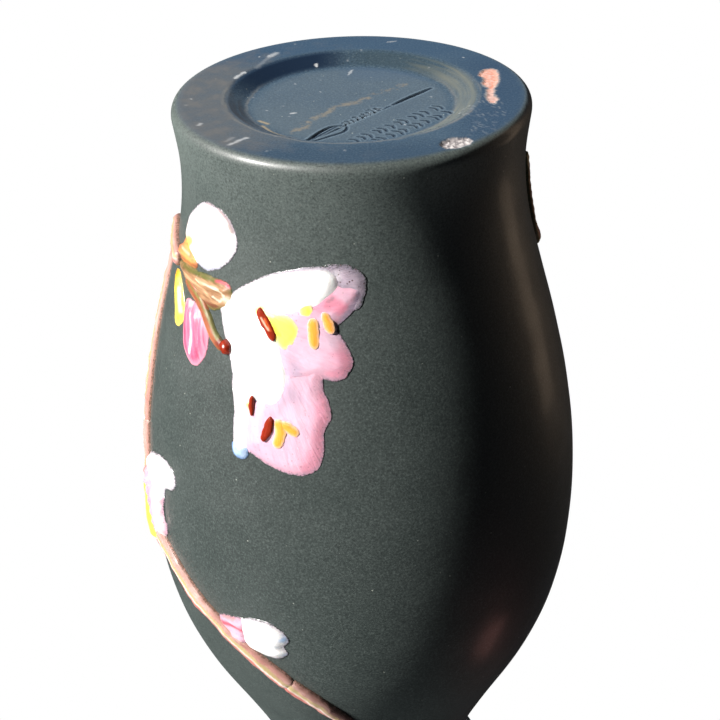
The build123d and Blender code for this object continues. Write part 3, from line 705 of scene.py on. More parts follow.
def flat_mesh(loop, step):
    """Points and triangles that fill a loop: close rings at its edge, and a fine grid inside."""
    out = outward(loop)
    extra = []
    for off in (0.16, 0.42, 0.8):
        ring = loop - out * off
        extra.append(ring[inside(ring, loop) & (to_loop(ring, loop) > 0.93 * off)])
    (x0, y0), (x1, y1) = loop.min(0), loop.max(0)
    rows = []
    for j, y in enumerate(np.arange(y0, y1, step * 0.87)):
        xs = np.arange(x0 + (j % 2) * step / 2, x1, step)
        rows.append(np.stack([xs, np.full(len(xs), y)], 1))
    grid = np.vstack(rows)
    grid = grid[inside(grid, loop)]
    grid = grid[to_loop(grid, loop) > 0.8 + 0.45 * step] if len(grid) else grid
    points = np.vstack([loop] + extra + [grid])
    n = len(loop)
    edges = [(i, (i + 1) % n) for i in range(n)]
    made, _, faces, *_ = delaunay_2d_cdt([Vector(p) for p in points], edges, [], 1, 1e-5)
    flat = np.array([tuple(v) for v in made])
    triangles = []
    for f in faces:
        a, b, c = (flat[i] for i in f)
        wide = (b[0] - a[0]) * (c[1] - a[1]) - (b[1] - a[1]) * (c[0] - a[0])
        triangles.append(tuple(f) if wide > 0 else tuple(reversed(f)))
    return flat, triangles


def stroke_frame(flat, axis, middle):
    """Each point's distance along and across a piece's axis, and the axis's length."""
    root, tip = spread_out(axis, middle)
    length = np.hypot(*(tip - root))
    way = (tip - root) / length
    return (flat - root) @ way, (flat - root) @ np.array([-way[1], way[0]]), length


def spread_out(places, middle):
    """(angle, height) places as flat mm around the middle of a piece."""
    p = np.asarray(places, float)
    return np.stack([np.radians(p[:, 0] - middle[0]) * middle[2], p[:, 1] - middle[1]], 1)


seeds = itertools.count(1.0)  # one for each piece of enamel, in the order they are made


def enamel(name, outlines, material, slot_name, height, base=0.0, edge=None, axis=None, detail=None,
           lump=0.10, tints=(), strokes=(), step=0.55, wobble=0.10, spine=None, nodes=None, joined=(),
           soft=False, spread=0.0):
    """One raised enamel piece: each outline filled, domed to height over base, with its strokes and tints.

    tints are (angle, z, radius, colour, strength), and strokes the same with a line of places instead of one.
    detail(along, across, length, edge) adds height. The enamel doesn't thin out where it meets joined
    outlines; soft enamel feathers out instead of ending in a round shoulder, and spread widens it, in mm."""
    all_points, all_faces, extras, seed = [], [], [], next(seeds)
    for outline in outlines:
        p = np.asarray(outline, float)
        middle = (p[:, 0].mean(), p[:, 1].mean(), float(radius_at(p[:, 1].mean())))
        loop = closed_curve(spread_out(p, middle), 0.5 if step > 0.4 else 0.3)
        if wobble:
            shake = fbm(np.column_stack([loop, np.full(len(loop), seed)]), 2.6, 2, seed)
            arm = loop - loop.mean(0)
            loop = loop + wobble * arm / np.maximum(np.hypot(*arm.T), 1)[:, None] * shake[:, None] * 2
        if spread:
            loop = loop + outward(loop) * spread
        flat, triangles = flat_mesh(loop, step)
        d = to_loop(flat, loop)
        wide = edge or max(0.6, float(d.max()) * 0.9)
        dome = np.sqrt(np.clip(1 - (1 - np.clip(d / wide, 0, 1)) ** 2, 0, 1))
        if soft:
            dome = 0.07 + 0.93 * ease(-0.1 * wide, 1.5 * wide, d)
        angle = middle[0] + np.degrees(flat[:, 0] / middle[2])
        z = middle[1] + flat[:, 1]
        if spine is not None:
            across, share = to_line(flat, spread_out(spine, middle))
            length = float(np.hypot(*np.diff(spread_out(spine, middle), axis=0).T).sum())
            along = share * length
            side = np.sign(np.sum((flat - flat.mean(0)) * np.array([0.3, 1.0]), 1))
            across = across * side
        else:
            ends = axis or (outline[0], outline[len(outline) // 2])
            along, across, length = stroke_frame(flat, ends, middle)
        fan = np.arctan2(across, np.maximum(along, 0) + 0.35 * length) * 12
        lumpy = fbm(np.column_stack([along * 0.45, across, np.full(len(d), seed)]), 3.2, 3, seed)
        lift = base + dome * height * (1 + lump * lumpy) + 0.06 * lumpy * dome
        if detail:
            lift = lift + dome * detail(along, across, length, d)
        lift = np.where(d < 0.02, base - SUNK if base == 0 else base - 0.5, lift)
        front = on_wall(angle, z, lift)
        back = on_wall(angle, z, np.full(len(d), base - SUNK - 0.25 if base == 0 else base - 0.9))
        start, n = sum(len(q) for q in all_points), len(front)
        all_points += [front, back]
        all_faces += [tuple(start + i for i in f) for f in triangles]
        all_faces += [tuple(start + n + i for i in reversed(f)) for f in triangles]
        used = dict.fromkeys((f[i - 1], f[i]) for f in triangles for i in (1, 2, 0))
        borders = [(a, b) for a, b in used if (b, a) not in used]
        all_faces += [(start + b, start + a, start + n + a, start + n + b) for a, b in borders]
        tint, amount = np.zeros((n, 4)), np.zeros(n)
        tint[:, 3] = 1
        touches = [([(ta, tz), (ta + 0.01, tz)], *rest) for ta, tz, *rest in tints]
        for line, reach, colour, strength in [*touches, *strokes]:
            away = to_line(flat, spread_out(line, middle))[0] + 0.4 * reach * lumpy
            amount = paint_over(tint, amount, ease(reach, reach * 0.2, away) * strength, colour)
        for other in joined:
            d = np.where(inside(flat, closed_curve(spread_out(other, middle), 0.5)), np.maximum(d, 2.0), d)
        local = np.stack([along, across, fan], 1)
        extras.append([np.tile(v, (2, 1) if v.ndim > 1 else 2) for v in (d, local, tint, amount)])
    merged = [np.concatenate([e[i] for e in extras]) for i in range(4)]
    attributes = dict(zip(("edge", "local", "tint", "tint_amount"), merged))
    new_piece(name, np.vstack(all_points), all_faces, material, nodes or [name], attributes)


def ribbon(line, widths):
    """The outline of a strip along (angle, height) points, with a width at each point."""
    left, right = [], []
    for i, width in enumerate(widths):
        before, after = line[max(i - 1, 0)], line[min(i + 1, len(line) - 1)]
        r = float(radius_at(line[i][1]))
        dx, dz = radians(after[0] - before[0]) * r, after[1] - before[1]
        size = hypot(dx, dz)
        nx, nz = -dz / size * width / 2, dx / size * width / 2
        left.append((line[i][0] + degrees(nx / r), line[i][1] + nz))
        right.append((line[i][0] - degrees(nx / r), line[i][1] - nz))
    return left + right[::-1]


def blob(line, widths):
    """A ribbon with a rounded end beyond its first and last points."""
    def beyond(a, b, width):
        r = float(radius_at(a[1]))
        dx, dz = radians(a[0] - b[0]) * r, a[1] - b[1]
        size = hypot(dx, dz)
        return a[0] + degrees(dx / size * width / 2 / r), a[1] + dz / size * width / 2

    sides = ribbon(line, widths)
    n = len(line)
    head, tail = beyond(line[0], line[1], 0.9 * widths[0]), beyond(line[-1], line[-2], 0.9 * widths[-1])
    return [head, *sides[:n], tail, *sides[n:]]


def around(centre, shape, turn=0.0):
    """An outline given in mm about a centre on the wall, turned by an angle in degrees."""
    c, s = cos(radians(turn)), sin(radians(turn))
    placed = []
    for x, y in shape:
        z = centre[1] + s * x + c * y
        placed.append((centre[0] + degrees((c * x - s * y) / float(radius_at(z))), z))
    return placed


# Surface detail: extra height in mm from the place along and across a piece.
def petal_veins(along, across, length, edge):
    """Brushed ridges that fan out from the petal's root, a dished middle and a fuller rim."""
    fan = np.arctan2(across, np.maximum(along, 0) + 0.35 * length)
    rim = np.exp(-(((edge - 1.2) / 0.8) ** 2))
    return 0.025 * np.sin(fan * 26 + 0.4 * along) + 0.07 * rim - 0.10 * ease(2.5, 6.0, edge)


def bark(along, across, length, edge):
    """Ridges along the branch, with a knot every centimetre or so."""
    knots = np.maximum(0, np.sin(along * 0.55 + 0.8)) ** 6
    return 0.05 * np.sin(across * 3.0 + 0.7 * np.sin(along * 0.35)) + 0.16 * knots


def swirl(along, across, length, edge):
    """Loops of slip trailed in an S."""
    return 0.28 * np.sin(across * 3.4 + 1.6 * np.sin(along * 0.42) + 0.5)


def groove(along, across, length, edge):
    """A petal closed along a central furrow."""
    return 0.16 * np.cos(across * 2.3) - 0.12 * np.exp(-((across / 0.7) ** 2))


# ---------------------------------------------------------------- branches
BRANCHES = {  # node: centre line of (angle, height), widths
    "trunk_lower": ([(151, 13), (141, 16), (129, 22), (116, 31), (105, 43)], [7.5, 8, 7.2, 6.6, 6.2]),
    "trunk_middle": ([(105, 43), (98, 56), (93, 70), (90, 82), (88, 94)], [6.2, 5.6, 5.8, 5.2, 5.4]),
    "trunk_upper": ([(88, 94), (83.5, 103), (77, 112.5), (70, 120)], [5.4, 5.2, 5.6, 5.2]),
    "shoulder_branch": (
        [(70, 120), (60.5, 122), (51, 128), (42, 133), (31.5, 140.5), (22.5, 148.5)],
        [5.2, 4.8, 5.2, 4.6, 5.0, 4.6],
    ),
    "shoulder_branch_tip": ([(22.5, 148.5), (13.5, 157), (7, 167), (4, 178)], [4.6, 4.2, 3.4, 2.4]),
    "foot_twig": ([(103, 46), (97, 37.5), (90, 34.5), (82, 36.5), (73, 38)], [4.0, 3.4, 3.4, 3.2, 3.0]),
    "back_limb_lower": ([(135, 19), (147, 31), (160, 41), (174, 48), (188, 51)], [6.0, 5.4, 5.6, 5.0, 4.8]),
    "back_limb_left": ([(188, 51), (202, 52), (216, 49), (230, 43.5)], [4.8, 4.2, 4.4, 3.8]),
    "back_twig": ([(230, 43.5), (242, 40), (254, 41), (265, 44)], [3.8, 3.2, 3.0, 2.4]),
    "back_limb_rising": ([(172, 48), (178, 62), (179, 78), (184, 93), (186, 106)], [4.6, 4.4, 4.8, 4.0, 3.8]),
    "back_limb_tip": ([(186, 106), (183, 119), (177, 131), (174, 144)], [3.8, 3.4, 3.0, 2.2]),
}
BRANCH_SPREAD = 1.1  # how far the soft glaze runs past each stroke of slip, in mm
# Pale line along the middle of each branch: a painted highlight on its crown.
BRANCH_HIGHLIGHT = (238, 220, 212)
ROSE = (190, 106, 98)
OLIVE_EDGE = (180, 170, 112)


def make_branches():
    for node, (line, widths) in BRANCHES.items():
        n = len(line)
        sides = ribbon(line, [0.42 * w for w in widths])
        upper, lower = sides[:n], sides[n:][::-1]
        strokes = [(line, 1.2, BRANCH_HIGHLIGHT, 0.95), (lower, 1.1, ROSE, 0.9), (upper, 0.9, OLIVE_EDGE, 0.8)]
        enamel(
            node, [ribbon(line, [w + BRANCH_SPREAD for w in widths])], BRANCH, "branch_enamel", 1.9,
            spine=line, detail=bark, lump=0.12, strokes=strokes, step=0.6,
        )


def petal(name, outline, material, height, edge, axis, **rest):
    """A brushed petal with a soft edge."""
    enamel(name, [outline], material, "white_enamel" if material is WHITE else "pink_enamel", height,
           **{"edge": edge, "axis": axis, "soft": True, "spread": 0.3, "detail": petal_veins, **rest})


# ---------------------------------------------------------------- the spray by the foot
FRONT_BUD = [
    (55, 17), (49, 16.5), (44, 17.5), (40.5, 20.5), (39.5, 24.5), (42, 28.5),
    (47, 32), (52.5, 34), (58, 34), (65, 33), (69.5, 29.6), (68, 25.5), (62.5, 21),
]
FRONT_BUD_CALYX = [(67, 28), (62, 29.5), (59, 33), (58.5, 35.6), (65, 36.8), (73, 37.5), (78, 36), (72, 33)]
YELLOW_SEPAL = [(75, 42), (71, 40.5), (66.5, 43), (63, 46), (61.5, 49.5), (64, 53), (67.5, 53), (70, 49)]
PINK_BUD = [(62.5, 45.5), (58, 43.5), (53, 44.5), (49, 47.5), (47.5, 52), (49, 56.5), (52.5, 59), (56.5, 58),
            (60.5, 54.5)]
OLIVE_CALYX = [(73, 38.5), (65, 36.0), (57, 35.4), (49, 34.6), (42, 34.6), (39.5, 37.5), (42.5, 41),
               (49, 43), (56, 42), (64, 41)]
BROWN_STEM = [(63, 39.5), (55, 41.8), (49.5, 45.2), (45.5, 48.6), (41.5, 50.5)]


def round_outline(angle, z, radius):
    turns = [2 * pi * i / 10 for i in range(10)]
    return around((angle, z), [(radius * cos(t), radius * sin(t)) for t in turns])


def make_spray():
    orange, yellow, cream = (250, 168, 50), (255, 226, 92), (232, 224, 200)
    brown, bud_shade_blue, crimson = (126, 74, 56), (178, 190, 214), (200, 66, 96)
    moss, salmon = (92, 96, 44), (226, 140, 104)
    # The blue-grey line along the bud's edge away from the foot is painted shade.
    petal(
        "front_bud_petal", FRONT_BUD, WHITE, 1.25, 2.6, ((66, 32), (42, 20)), joined=[FRONT_BUD_CALYX],
        tints=[(63.5, 30.2, 3.2, yellow, 0.95), (68.5, 29.8, 3.2, orange, 0.95), (66, 33.2, 2.4, orange, 0.9),
               (69, 25.6, 2.0, salmon, 0.6)],
        strokes=[([(54, 16.6), (48, 16.3), (43, 18.4), (41, 21)], 0.9, brown, 0.75),
                 ([(46, 31.8), (52, 34), (57, 33.8)], 1.5, bud_shade_blue, 0.8)],
    )
    enamel(
        "front_bud_calyx", [FRONT_BUD_CALYX], SALMON, "orange_enamel", 1.0, edge=1.4, soft=True,
        axis=((78, 36), (58, 33)), wobble=0.15, joined=[FRONT_BUD],
        strokes=[([(77, 35.6), (70, 32.4), (62, 33.4)], 1.2, salmon, 0.8),
                 ([(76, 36.6), (66, 35.4), (58, 35)], 0.8, brown, 0.7),
                 ([(70, 33.4), (63, 33)], 0.7, cream, 0.5)],
    )
    enamel(
        "olive_calyx", [OLIVE_CALYX], OLIVE, "olive_enamel", 0.95, edge=1.5, soft=True, detail=swirl,
        axis=((73, 38.5), (40, 37)), wobble=0.25, lump=0.25,
        tints=[(42, 35.0, 1.5, crimson, 0.85), (41.5, 38.6, 1.5, cream, 0.8)],
        strokes=[
            ([(57, 37.6), (50, 37.2), (45, 36.8), (42.2, 38), (44.5, 39.6), (47, 39)], 0.5, cream, 0.8),
            ([(70, 39), (60, 38.6), (52, 38.6), (48, 39.8)], 0.5, (214, 170, 132), 0.8),
            ([(69, 40), (60, 40.4), (53, 41.4), (46, 41.2)], 0.7, brown, 0.9),
            ([(67, 37.4), (57, 36.4), (50, 35.6), (43.5, 35.2)], 0.7, moss, 0.9),
            ([(47, 35.0), (43, 34.6), (41, 35.4)], 0.9, crimson, 0.8),
        ],
    )
    enamel(
        "yellow_sepal", [YELLOW_SEPAL], YELLOW, "yellow_enamel", 0.9, edge=1.4, soft=True, detail=groove,
        axis=((75, 41), (64, 53)), tints=[(72.5, 41.6, 4.0, orange, 0.9), (64.4, 50.6, 0.6, brown, 0.8)],
        strokes=[([(67.5, 44), (63.5, 48.5)], 1.0, (255, 250, 196), 0.8)],
    )
    enamel(
        "pink_bud", [PINK_BUD], HOT_PINK, "pink_enamel", 1.2, edge=2.2, soft=True, detail=groove,
        axis=((59, 43.5), (53, 59)), tints=[(58.5, 44.4, 1.8, (248, 214, 214), 0.7)],
        strokes=[([(56.5, 46.5), (54.5, 51), (54, 56)], 0.75, (250, 212, 226), 0.85),
                 ([(60, 48), (57.5, 53), (55.5, 57)], 0.6, (206, 52, 98), 0.7),
                 ([(52.5, 46.5), (50.6, 51), (51, 56)], 0.6, (214, 66, 112), 0.6)],
    )
    enamel(
        "brown_stem", [ribbon(BROWN_STEM, [3.0, 3.6, 3.4, 3.2, 2.6])], BROWN, "olive_enamel", 1.1,
        spine=BROWN_STEM, step=0.4, joined=[OLIVE_CALYX],
        strokes=[([(61, 39.4), (53, 41.6), (47.6, 45.2), (43.5, 48.8)], 0.65, (118, 116, 60), 0.85),
                 ([(58, 41.8), (51.5, 45), (47, 48.6)], 0.5, (196, 128, 92), 0.7)],
        tints=[(42.5, 49.6, 2.0, (110, 30, 22), 0.8)],
    )
    # The near-white spot on the red bead is a painted highlight.
    enamel(
        "stem_bead", [round_outline(39.8, 49.8, 2.0)], RED, "red_enamel", 2.2, lump=0.35, step=0.3,
        tints=[(39.3, 49.2, 0.6, (250, 240, 232), 0.9)],
    )


# ---------------------------------------------------------------- the front blossom
WHITE_UPPER = [
    (44, 42), (42, 38), (37, 34.3), (31, 31), (24, 28.4), (16, 26.5), (9.5, 26),
    (6, 28.3), (6, 31.8), (9.5, 35.2), (15, 37.6), (21, 38.5), (28, 39.3), (36, 42.5),
]
WHITE_MIDDLE = [
    (43.5, 42), (36, 41), (28, 39), (24.5, 41), (21.8, 45.5), (20, 50), (19, 55),
    (20, 59), (23.5, 61.6), (27.5, 61), (32, 62), (36.3, 60), (37.5, 54.5), (40.5, 49),
]
WHITE_LOWER = [(36.3, 59), (32.5, 60.5), (29.5, 61), (29.5, 66), (30, 71), (31, 75), (33.5, 75.6),
               (35, 71.5), (35.3, 65)]
BLUE_TIP = [(29.9, 73), (32.5, 72.3), (35.2, 73), (34.8, 76), (32.4, 77), (30.3, 76)]
LILAC_TIP = [(9.5, 25.9), (4, 25.2), (0, 26.3), (-2.4, 28.6), (-2.2, 32), (-0.6, 35.4), (1.4, 35.4),
             (2.2, 32), (5.5, 31.5), (6.5, 28.5)]
PINK_UPPER = [
    (25, 39), (20, 36.5), (14, 34), (9, 31), (4, 30), (-1, 30.5), (-1, 33.8), (2.5, 37.2),
    (6, 40.2), (4.6, 43), (2.5, 46), (1.7, 48.8), (3.5, 51.6), (6.8, 52.8), (10.5, 52.6),
    (15, 54), (20, 55.2), (23, 51), (25, 45),
]
PINK_LOWER = [
    (21, 54.6), (15, 53.2), (10.5, 52), (9.9, 55.5), (8.3, 58.5), (7.8, 62), (9.5, 65.8),
    (9.6, 70.5), (11, 74.8), (14.2, 77), (18.5, 77.4), (23, 76.4), (27.5, 74.8),
    (31.5, 72.6), (32, 66), (29.5, 60), (24, 58),
]
FRONT_HEART = [(30.5, 38.2), (25, 38.5), (19.8, 39.2), (17.4, 41.8), (20.5, 46.2), (24, 44), (28, 41.3)]
RED_STROKES = [
    ([(29.4, 38.6), (27, 41), (24.6, 43.8)], [2.2, 2.9, 2.0]),
    ([(29.5, 59.4), (29.6, 61.6), (29.3, 63.8)], [1.1, 1.6, 1.2]),
    ([(24.0, 64.3), (24.4, 66.8), (25.5, 69.2)], [2.0, 2.7, 1.8]),
]
ORANGE_STROKES = [
    ([(12.7, 38.9), (12.7, 41.7), (12.3, 44.6)], [2.0, 2.8, 2.1]),
    ([(9.3, 37.5), (8.5, 39.1), (7.5, 40.7)], [1.8, 2.5, 1.9]),
    ([(21.4, 64.6), (20.9, 67.4), (21.7, 70.1)], [2.4, 2.8, 2.3]),
    ([(20.4, 65.0), (18.3, 65.6), (16.6, 66.6)], [2.0, 2.5, 1.8]),
]


def make_front_blossom():
    lilac, rose, warm = (176, 160, 182), (230, 134, 158), (252, 226, 190)
    specks, pale = (120, 84, 92), (226, 200, 218)
    root = (30, 42)
    tucked = [(21, 51.6), (15, 50.4), (10.6, 50.2), *PINK_LOWER[3:]]  # carries on under the petal above
    whites = [WHITE_UPPER, WHITE_MIDDLE, WHITE_LOWER]
    petal(
        "front_petal_pink_upper", PINK_UPPER, PINK, 0.75, 2.4, (root, (2, 46)), spread=0.4,
        joined=[*whites, LILAC_TIP, PINK_LOWER],
        tints=[(3.5, 49, 6.0, rose, 0.5), (7.5, 43, 3.0, pale, 0.6), (17.5, 51.5, 3.4, lilac, 0.75),
               (13, 47, 4, pale, 0.5)],
        strokes=[([(13, 34.4), (7, 34.4), (3.4, 36)], 2.4, rose, 0.75),
                 ([(-1, 31), (0.4, 34.6), (4.6, 39.4)], 1.7, lilac, 0.9),
                 ([(9, 34), (7, 33)], 0.6, specks, 0.5)],
    )
    petal(
        "front_petal_pink_lower", tucked, PINK, 0.75, 2.4, ((28, 48), (16, 77)), spread=0.4,
        joined=[*whites, PINK_UPPER, BLUE_TIP],
        tints=[(19, 57, 5.0, lilac, 0.6), (18, 63, 5, pale, 0.5), (28, 72, 3.0, lilac, 0.4)],
        strokes=[([(9.5, 57), (10, 64), (10.6, 71), (14, 75)], 3.2, rose, 0.45),
                 ([(27, 60), (27.2, 64), (28, 70)], 1.6, pale, 0.7)],
    )
    enamel(
        "front_petal_lilac_tip", [LILAC_TIP], LILAC, "lilac_enamel", 0.5, edge=2.4, soft=True, wobble=0.12,
        lump=0.05, spread=0.5, axis=((9, 29), (-2, 28.5)), joined=[WHITE_UPPER, PINK_UPPER],
        tints=[(6.5, 27.8, 2.0, (236, 228, 236), 0.85), (5.4, 30.6, 1.0, specks, 0.8),
               (6.1, 29.6, 0.7, specks, 0.6)],
    )
    petal(
        "front_petal_white_upper", WHITE_UPPER, WHITE, 0.85, 2.2, (root, (6, 29)), spread=0.4,
        joined=[PINK_UPPER, WHITE_MIDDLE],
        strokes=[([(31, 30.4), (24, 28.0), (15, 26.2), (9, 25.8)], 0.9, lilac, 0.55),
                 ([(6.0, 28.6), (6.2, 31.4)], 0.7, specks, 0.5)],
        tints=[(31, 38.5, 2.4, warm, 0.6), (29.5, 38.3, 1.6, (255, 240, 130), 0.9)],
    )
    petal(
        "front_petal_white_middle", WHITE_MIDDLE, WHITE, 1.05, 2.0, (root, (26, 61)), spread=0.2,
        joined=[PINK_UPPER, PINK_LOWER, WHITE_UPPER, WHITE_LOWER], tints=[(25.5, 60.8, 1.6, warm, 0.5)],
        strokes=[([(20.4, 48), (19.1, 54), (20.2, 59)], 0.5, lilac, 0.7),
                 ([(29.5, 39.4), (25, 41.6), (22.6, 44.5)], 1.3, (255, 238, 120), 0.9)],
    )
    petal(
        "front_petal_white_lower", WHITE_LOWER, WHITE, 0.9, 1.6, ((33, 58), (32.5, 76)), spread=0.2,
        joined=[PINK_LOWER, WHITE_MIDDLE, BLUE_TIP], tints=[(30.2, 61.6, 1.9, (255, 226, 84), 0.9)],
    )
    enamel(
        "front_petal_blue_tip", [BLUE_TIP], BLUE, "blue_enamel", 0.8, edge=1.3, soft=True,
        axis=((32.5, 71), (32.5, 77)), joined=[WHITE_LOWER],
        tints=[(32.4, 72.2, 1.7, (240, 242, 246), 0.8), (32.6, 76, 1.4, (116, 150, 204), 0.7)],
    )
    enamel(
        "front_heart", [FRONT_HEART, round_outline(14.8, 36.5, 1.4)], HEART, "yellow_enamel", 0.3, base=0.62,
        edge=1.4, soft=True, wobble=0.15, spread=0.5, step=0.4, axis=((30, 38), (19, 44)),
        strokes=[([(29.5, 38.4), (25, 38.8)], 0.9, (255, 250, 200), 0.8),
                 ([(24.5, 41.5), (22.5, 43)], 0.8, (252, 190, 60), 0.6)],
    )
    reds, oranges = [blob(*s) for s in RED_STROKES], [blob(*s) for s in ORANGE_STROKES]
    # The cream and orange lines along the upper red anther are a painted highlight.
    enamel(
        "front_anthers_red", reds, RED, "red_enamel", 0.5, base=0.85, step=0.3, wobble=0.25,
        joined=reds, lump=0.3,
        strokes=[([(28.4, 39.8), (25.8, 42.3)], 0.45, (240, 196, 170), 0.85),
                 ([(27.2, 39.8), (24.9, 42.4)], 0.4, (224, 96, 40), 0.8),
                 ([(24.4, 65.4), (24.9, 68.4)], 0.4, (176, 60, 44), 0.6)],
    )
    enamel(
        "front_anthers_orange", oranges, STAMEN, "orange_enamel", 0.2, base=0.7, step=0.3, wobble=0.2,
        lump=0.0, soft=True, edge=1.0, spread=0.3,
    )


# ---------------------------------------------------------------- buds on the side and the shoulder
SIDE_BUD = [
    (79.6, 99.8), (75.6, 96.8), (70.5, 93.8), (64.5, 91.2), (58.5, 91.4), (56, 94.6), (58.2, 97.8),
    (62, 99.8), (63.6, 104), (68, 106), (74, 106), (78, 103.8), (80.2, 101.8),
]
SIDE_CALYX = [
    (63.6, 102), (63.9, 109), (62.2, 113), (63.5, 117), (67, 120),
    (71, 119.5), (75.5, 114.5), (79.5, 108), (80.5, 102), (72, 101),
]
YELLOW_LEAF = [(86, 110), (82.5, 114), (79.5, 120), (77.8, 128), (80, 131), (83.5, 126.5), (87, 118.5)]
SHOULDER_BUD = [
    (33.5, 127), (28.5, 125), (24, 125.5), (21.3, 127.5), (20.3, 130), (21.8, 132.6),
    (21, 135), (23.5, 137.8), (27.5, 138.4), (33, 137), (34.5, 132),
]
SHOULDER_CALYX = [(42, 130), (37.5, 127.6), (32.5, 126.8), (31.3, 131.5), (32.5, 136.8), (36, 137.6),
                  (40, 134)]


def make_side_buds():
    blush, blue, cream = (232, 186, 204), (150, 184, 222), (250, 236, 224)
    crimson, salmon = (196, 60, 76), (222, 130, 104)
    petal(
        "side_bud_petals", SIDE_BUD, WHITE, 1.5, 1.6, ((80, 106), (60, 91)),
        joined=[SIDE_CALYX], tints=[(79.5, 99.5, 3, blush, 0.4)],
    )
    enamel(
        "side_bud_calyx", [SIDE_CALYX], PINK, "orange_enamel", 2.3, edge=2.2, soft=True, detail=groove,
        axis=((80, 120), (66, 102)), joined=[SIDE_BUD, YELLOW_LEAF],
        strokes=[([(66, 102), (66.4, 110), (65.4, 118)], 3.0, cream, 0.85),
                 ([(78, 103), (75.5, 110), (71, 117)], 1.6, salmon, 0.7),
                 ([(71, 105), (72, 112), (71, 118)], 1.0, (222, 150, 176), 0.7)],
        tints=[(64.5, 118, 2.2, (200, 172, 192), 0.5)],
    )
    enamel(
        "side_leaf_yellow", [YELLOW_LEAF], YELLOW, "yellow_enamel", 2.8, edge=1.6, soft=True, detail=groove,
        axis=((86, 110), (79, 131)), joined=[SIDE_CALYX], tints=[(85.6, 111.5, 2.4, (246, 176, 60), 0.7)],
    )
    petal(
        "shoulder_bud_petals", SHOULDER_BUD, WHITE, 1.3, 2.0, ((34, 132), (21, 131)), joined=[SHOULDER_CALYX],
        tints=[(21.0, 129.0, 2.3, blue, 0.9), (21.0, 136.4, 2.3, blue, 0.85), (26, 138.2, 1.6, blue, 0.5)],
        strokes=[([(30, 132), (22.5, 132.6)], 0.6, (206, 212, 226), 0.7)],
    )
    enamel(
        "shoulder_bud_calyx", [SHOULDER_CALYX], PINK, "orange_enamel", 1.3, edge=1.8, soft=True,
        detail=groove, axis=((42, 131), (31, 132)), joined=[SHOULDER_BUD],
        strokes=[([(41, 131), (36.5, 130.2), (33, 130.6)], 0.7, crimson, 0.85),
                 ([(39, 134), (34.5, 135.6)], 0.9, cream, 0.9), ([(40, 128.8), (36, 128)], 0.8, salmon, 0.7)],
    )


# ---------------------------------------------------------------- what grows on the sides and the back
PETAL_INNER, PETAL_LENGTH, PETAL_WIDTH = 2.6, 15.5, 13.4
PETAL_SHAPE = [  # (share of the length, share of the half width)
    (0.0, -0.16), (0.28, -0.62), (0.62, -1.0), (0.9, -0.72), (1.0, -0.26), (0.93, 0.0),
    (1.0, 0.3), (0.88, 0.76), (0.6, 0.97), (0.27, 0.6), (0.0, 0.16),
]
BLOSSOMS = {
    "side_blossom": ((101, 143), 20, 1.0),
    "back_blossom": ((151, 76), 52, 1.06),
    "left_blossom": ((212, 78), 8, 1.12),
}
LEAF_SHAPE = [(0, 0.14), (4, 2.4), (10, 3.9), (16, 2.9), (21, 0.3), (16, -2.6), (10, -3.6), (4, -2.3),
              (0, -0.4)]
BUD_SHAPE = [(0, 1.6), (3, 3.4), (7, 3.7), (10.4, 1.9), (11.4, -0.4), (9.4, -2.9), (6, -3.7), (2.4, -3.2),
             (0, -1.5)]
BUD_CALYX_SHAPE = [(2.6, 3.0), (-0.6, 2.3), (-4.4, 0), (-0.6, -2.3), (2.6, -3.0), (1.4, 0)]
LEAVES = [((118, 36), 62), ((163, 47), 128), ((205, 47), -52), ((172, 147), 118), ((128, 152), 38)]
BACK_BUDS = [((236, 36.5), -50), ((185, 121.5), 24), ((4, 181), 102)]
RIGHT_LEAF = [(266, 45), (270.5, 41), (273.5, 33), (275, 24), (274, 16), (270.5, 19), (267.5, 26),
              (265.5, 34)]


def leaf_veins(along, across, length, edge):
    """A furrow for the midrib, with side veins that slope to the tip."""
    rib = -0.3 * np.exp(-((across / 0.45) ** 2))
    return rib + 0.07 * np.sin((along - 1.1 * abs(across)) * 2.4)


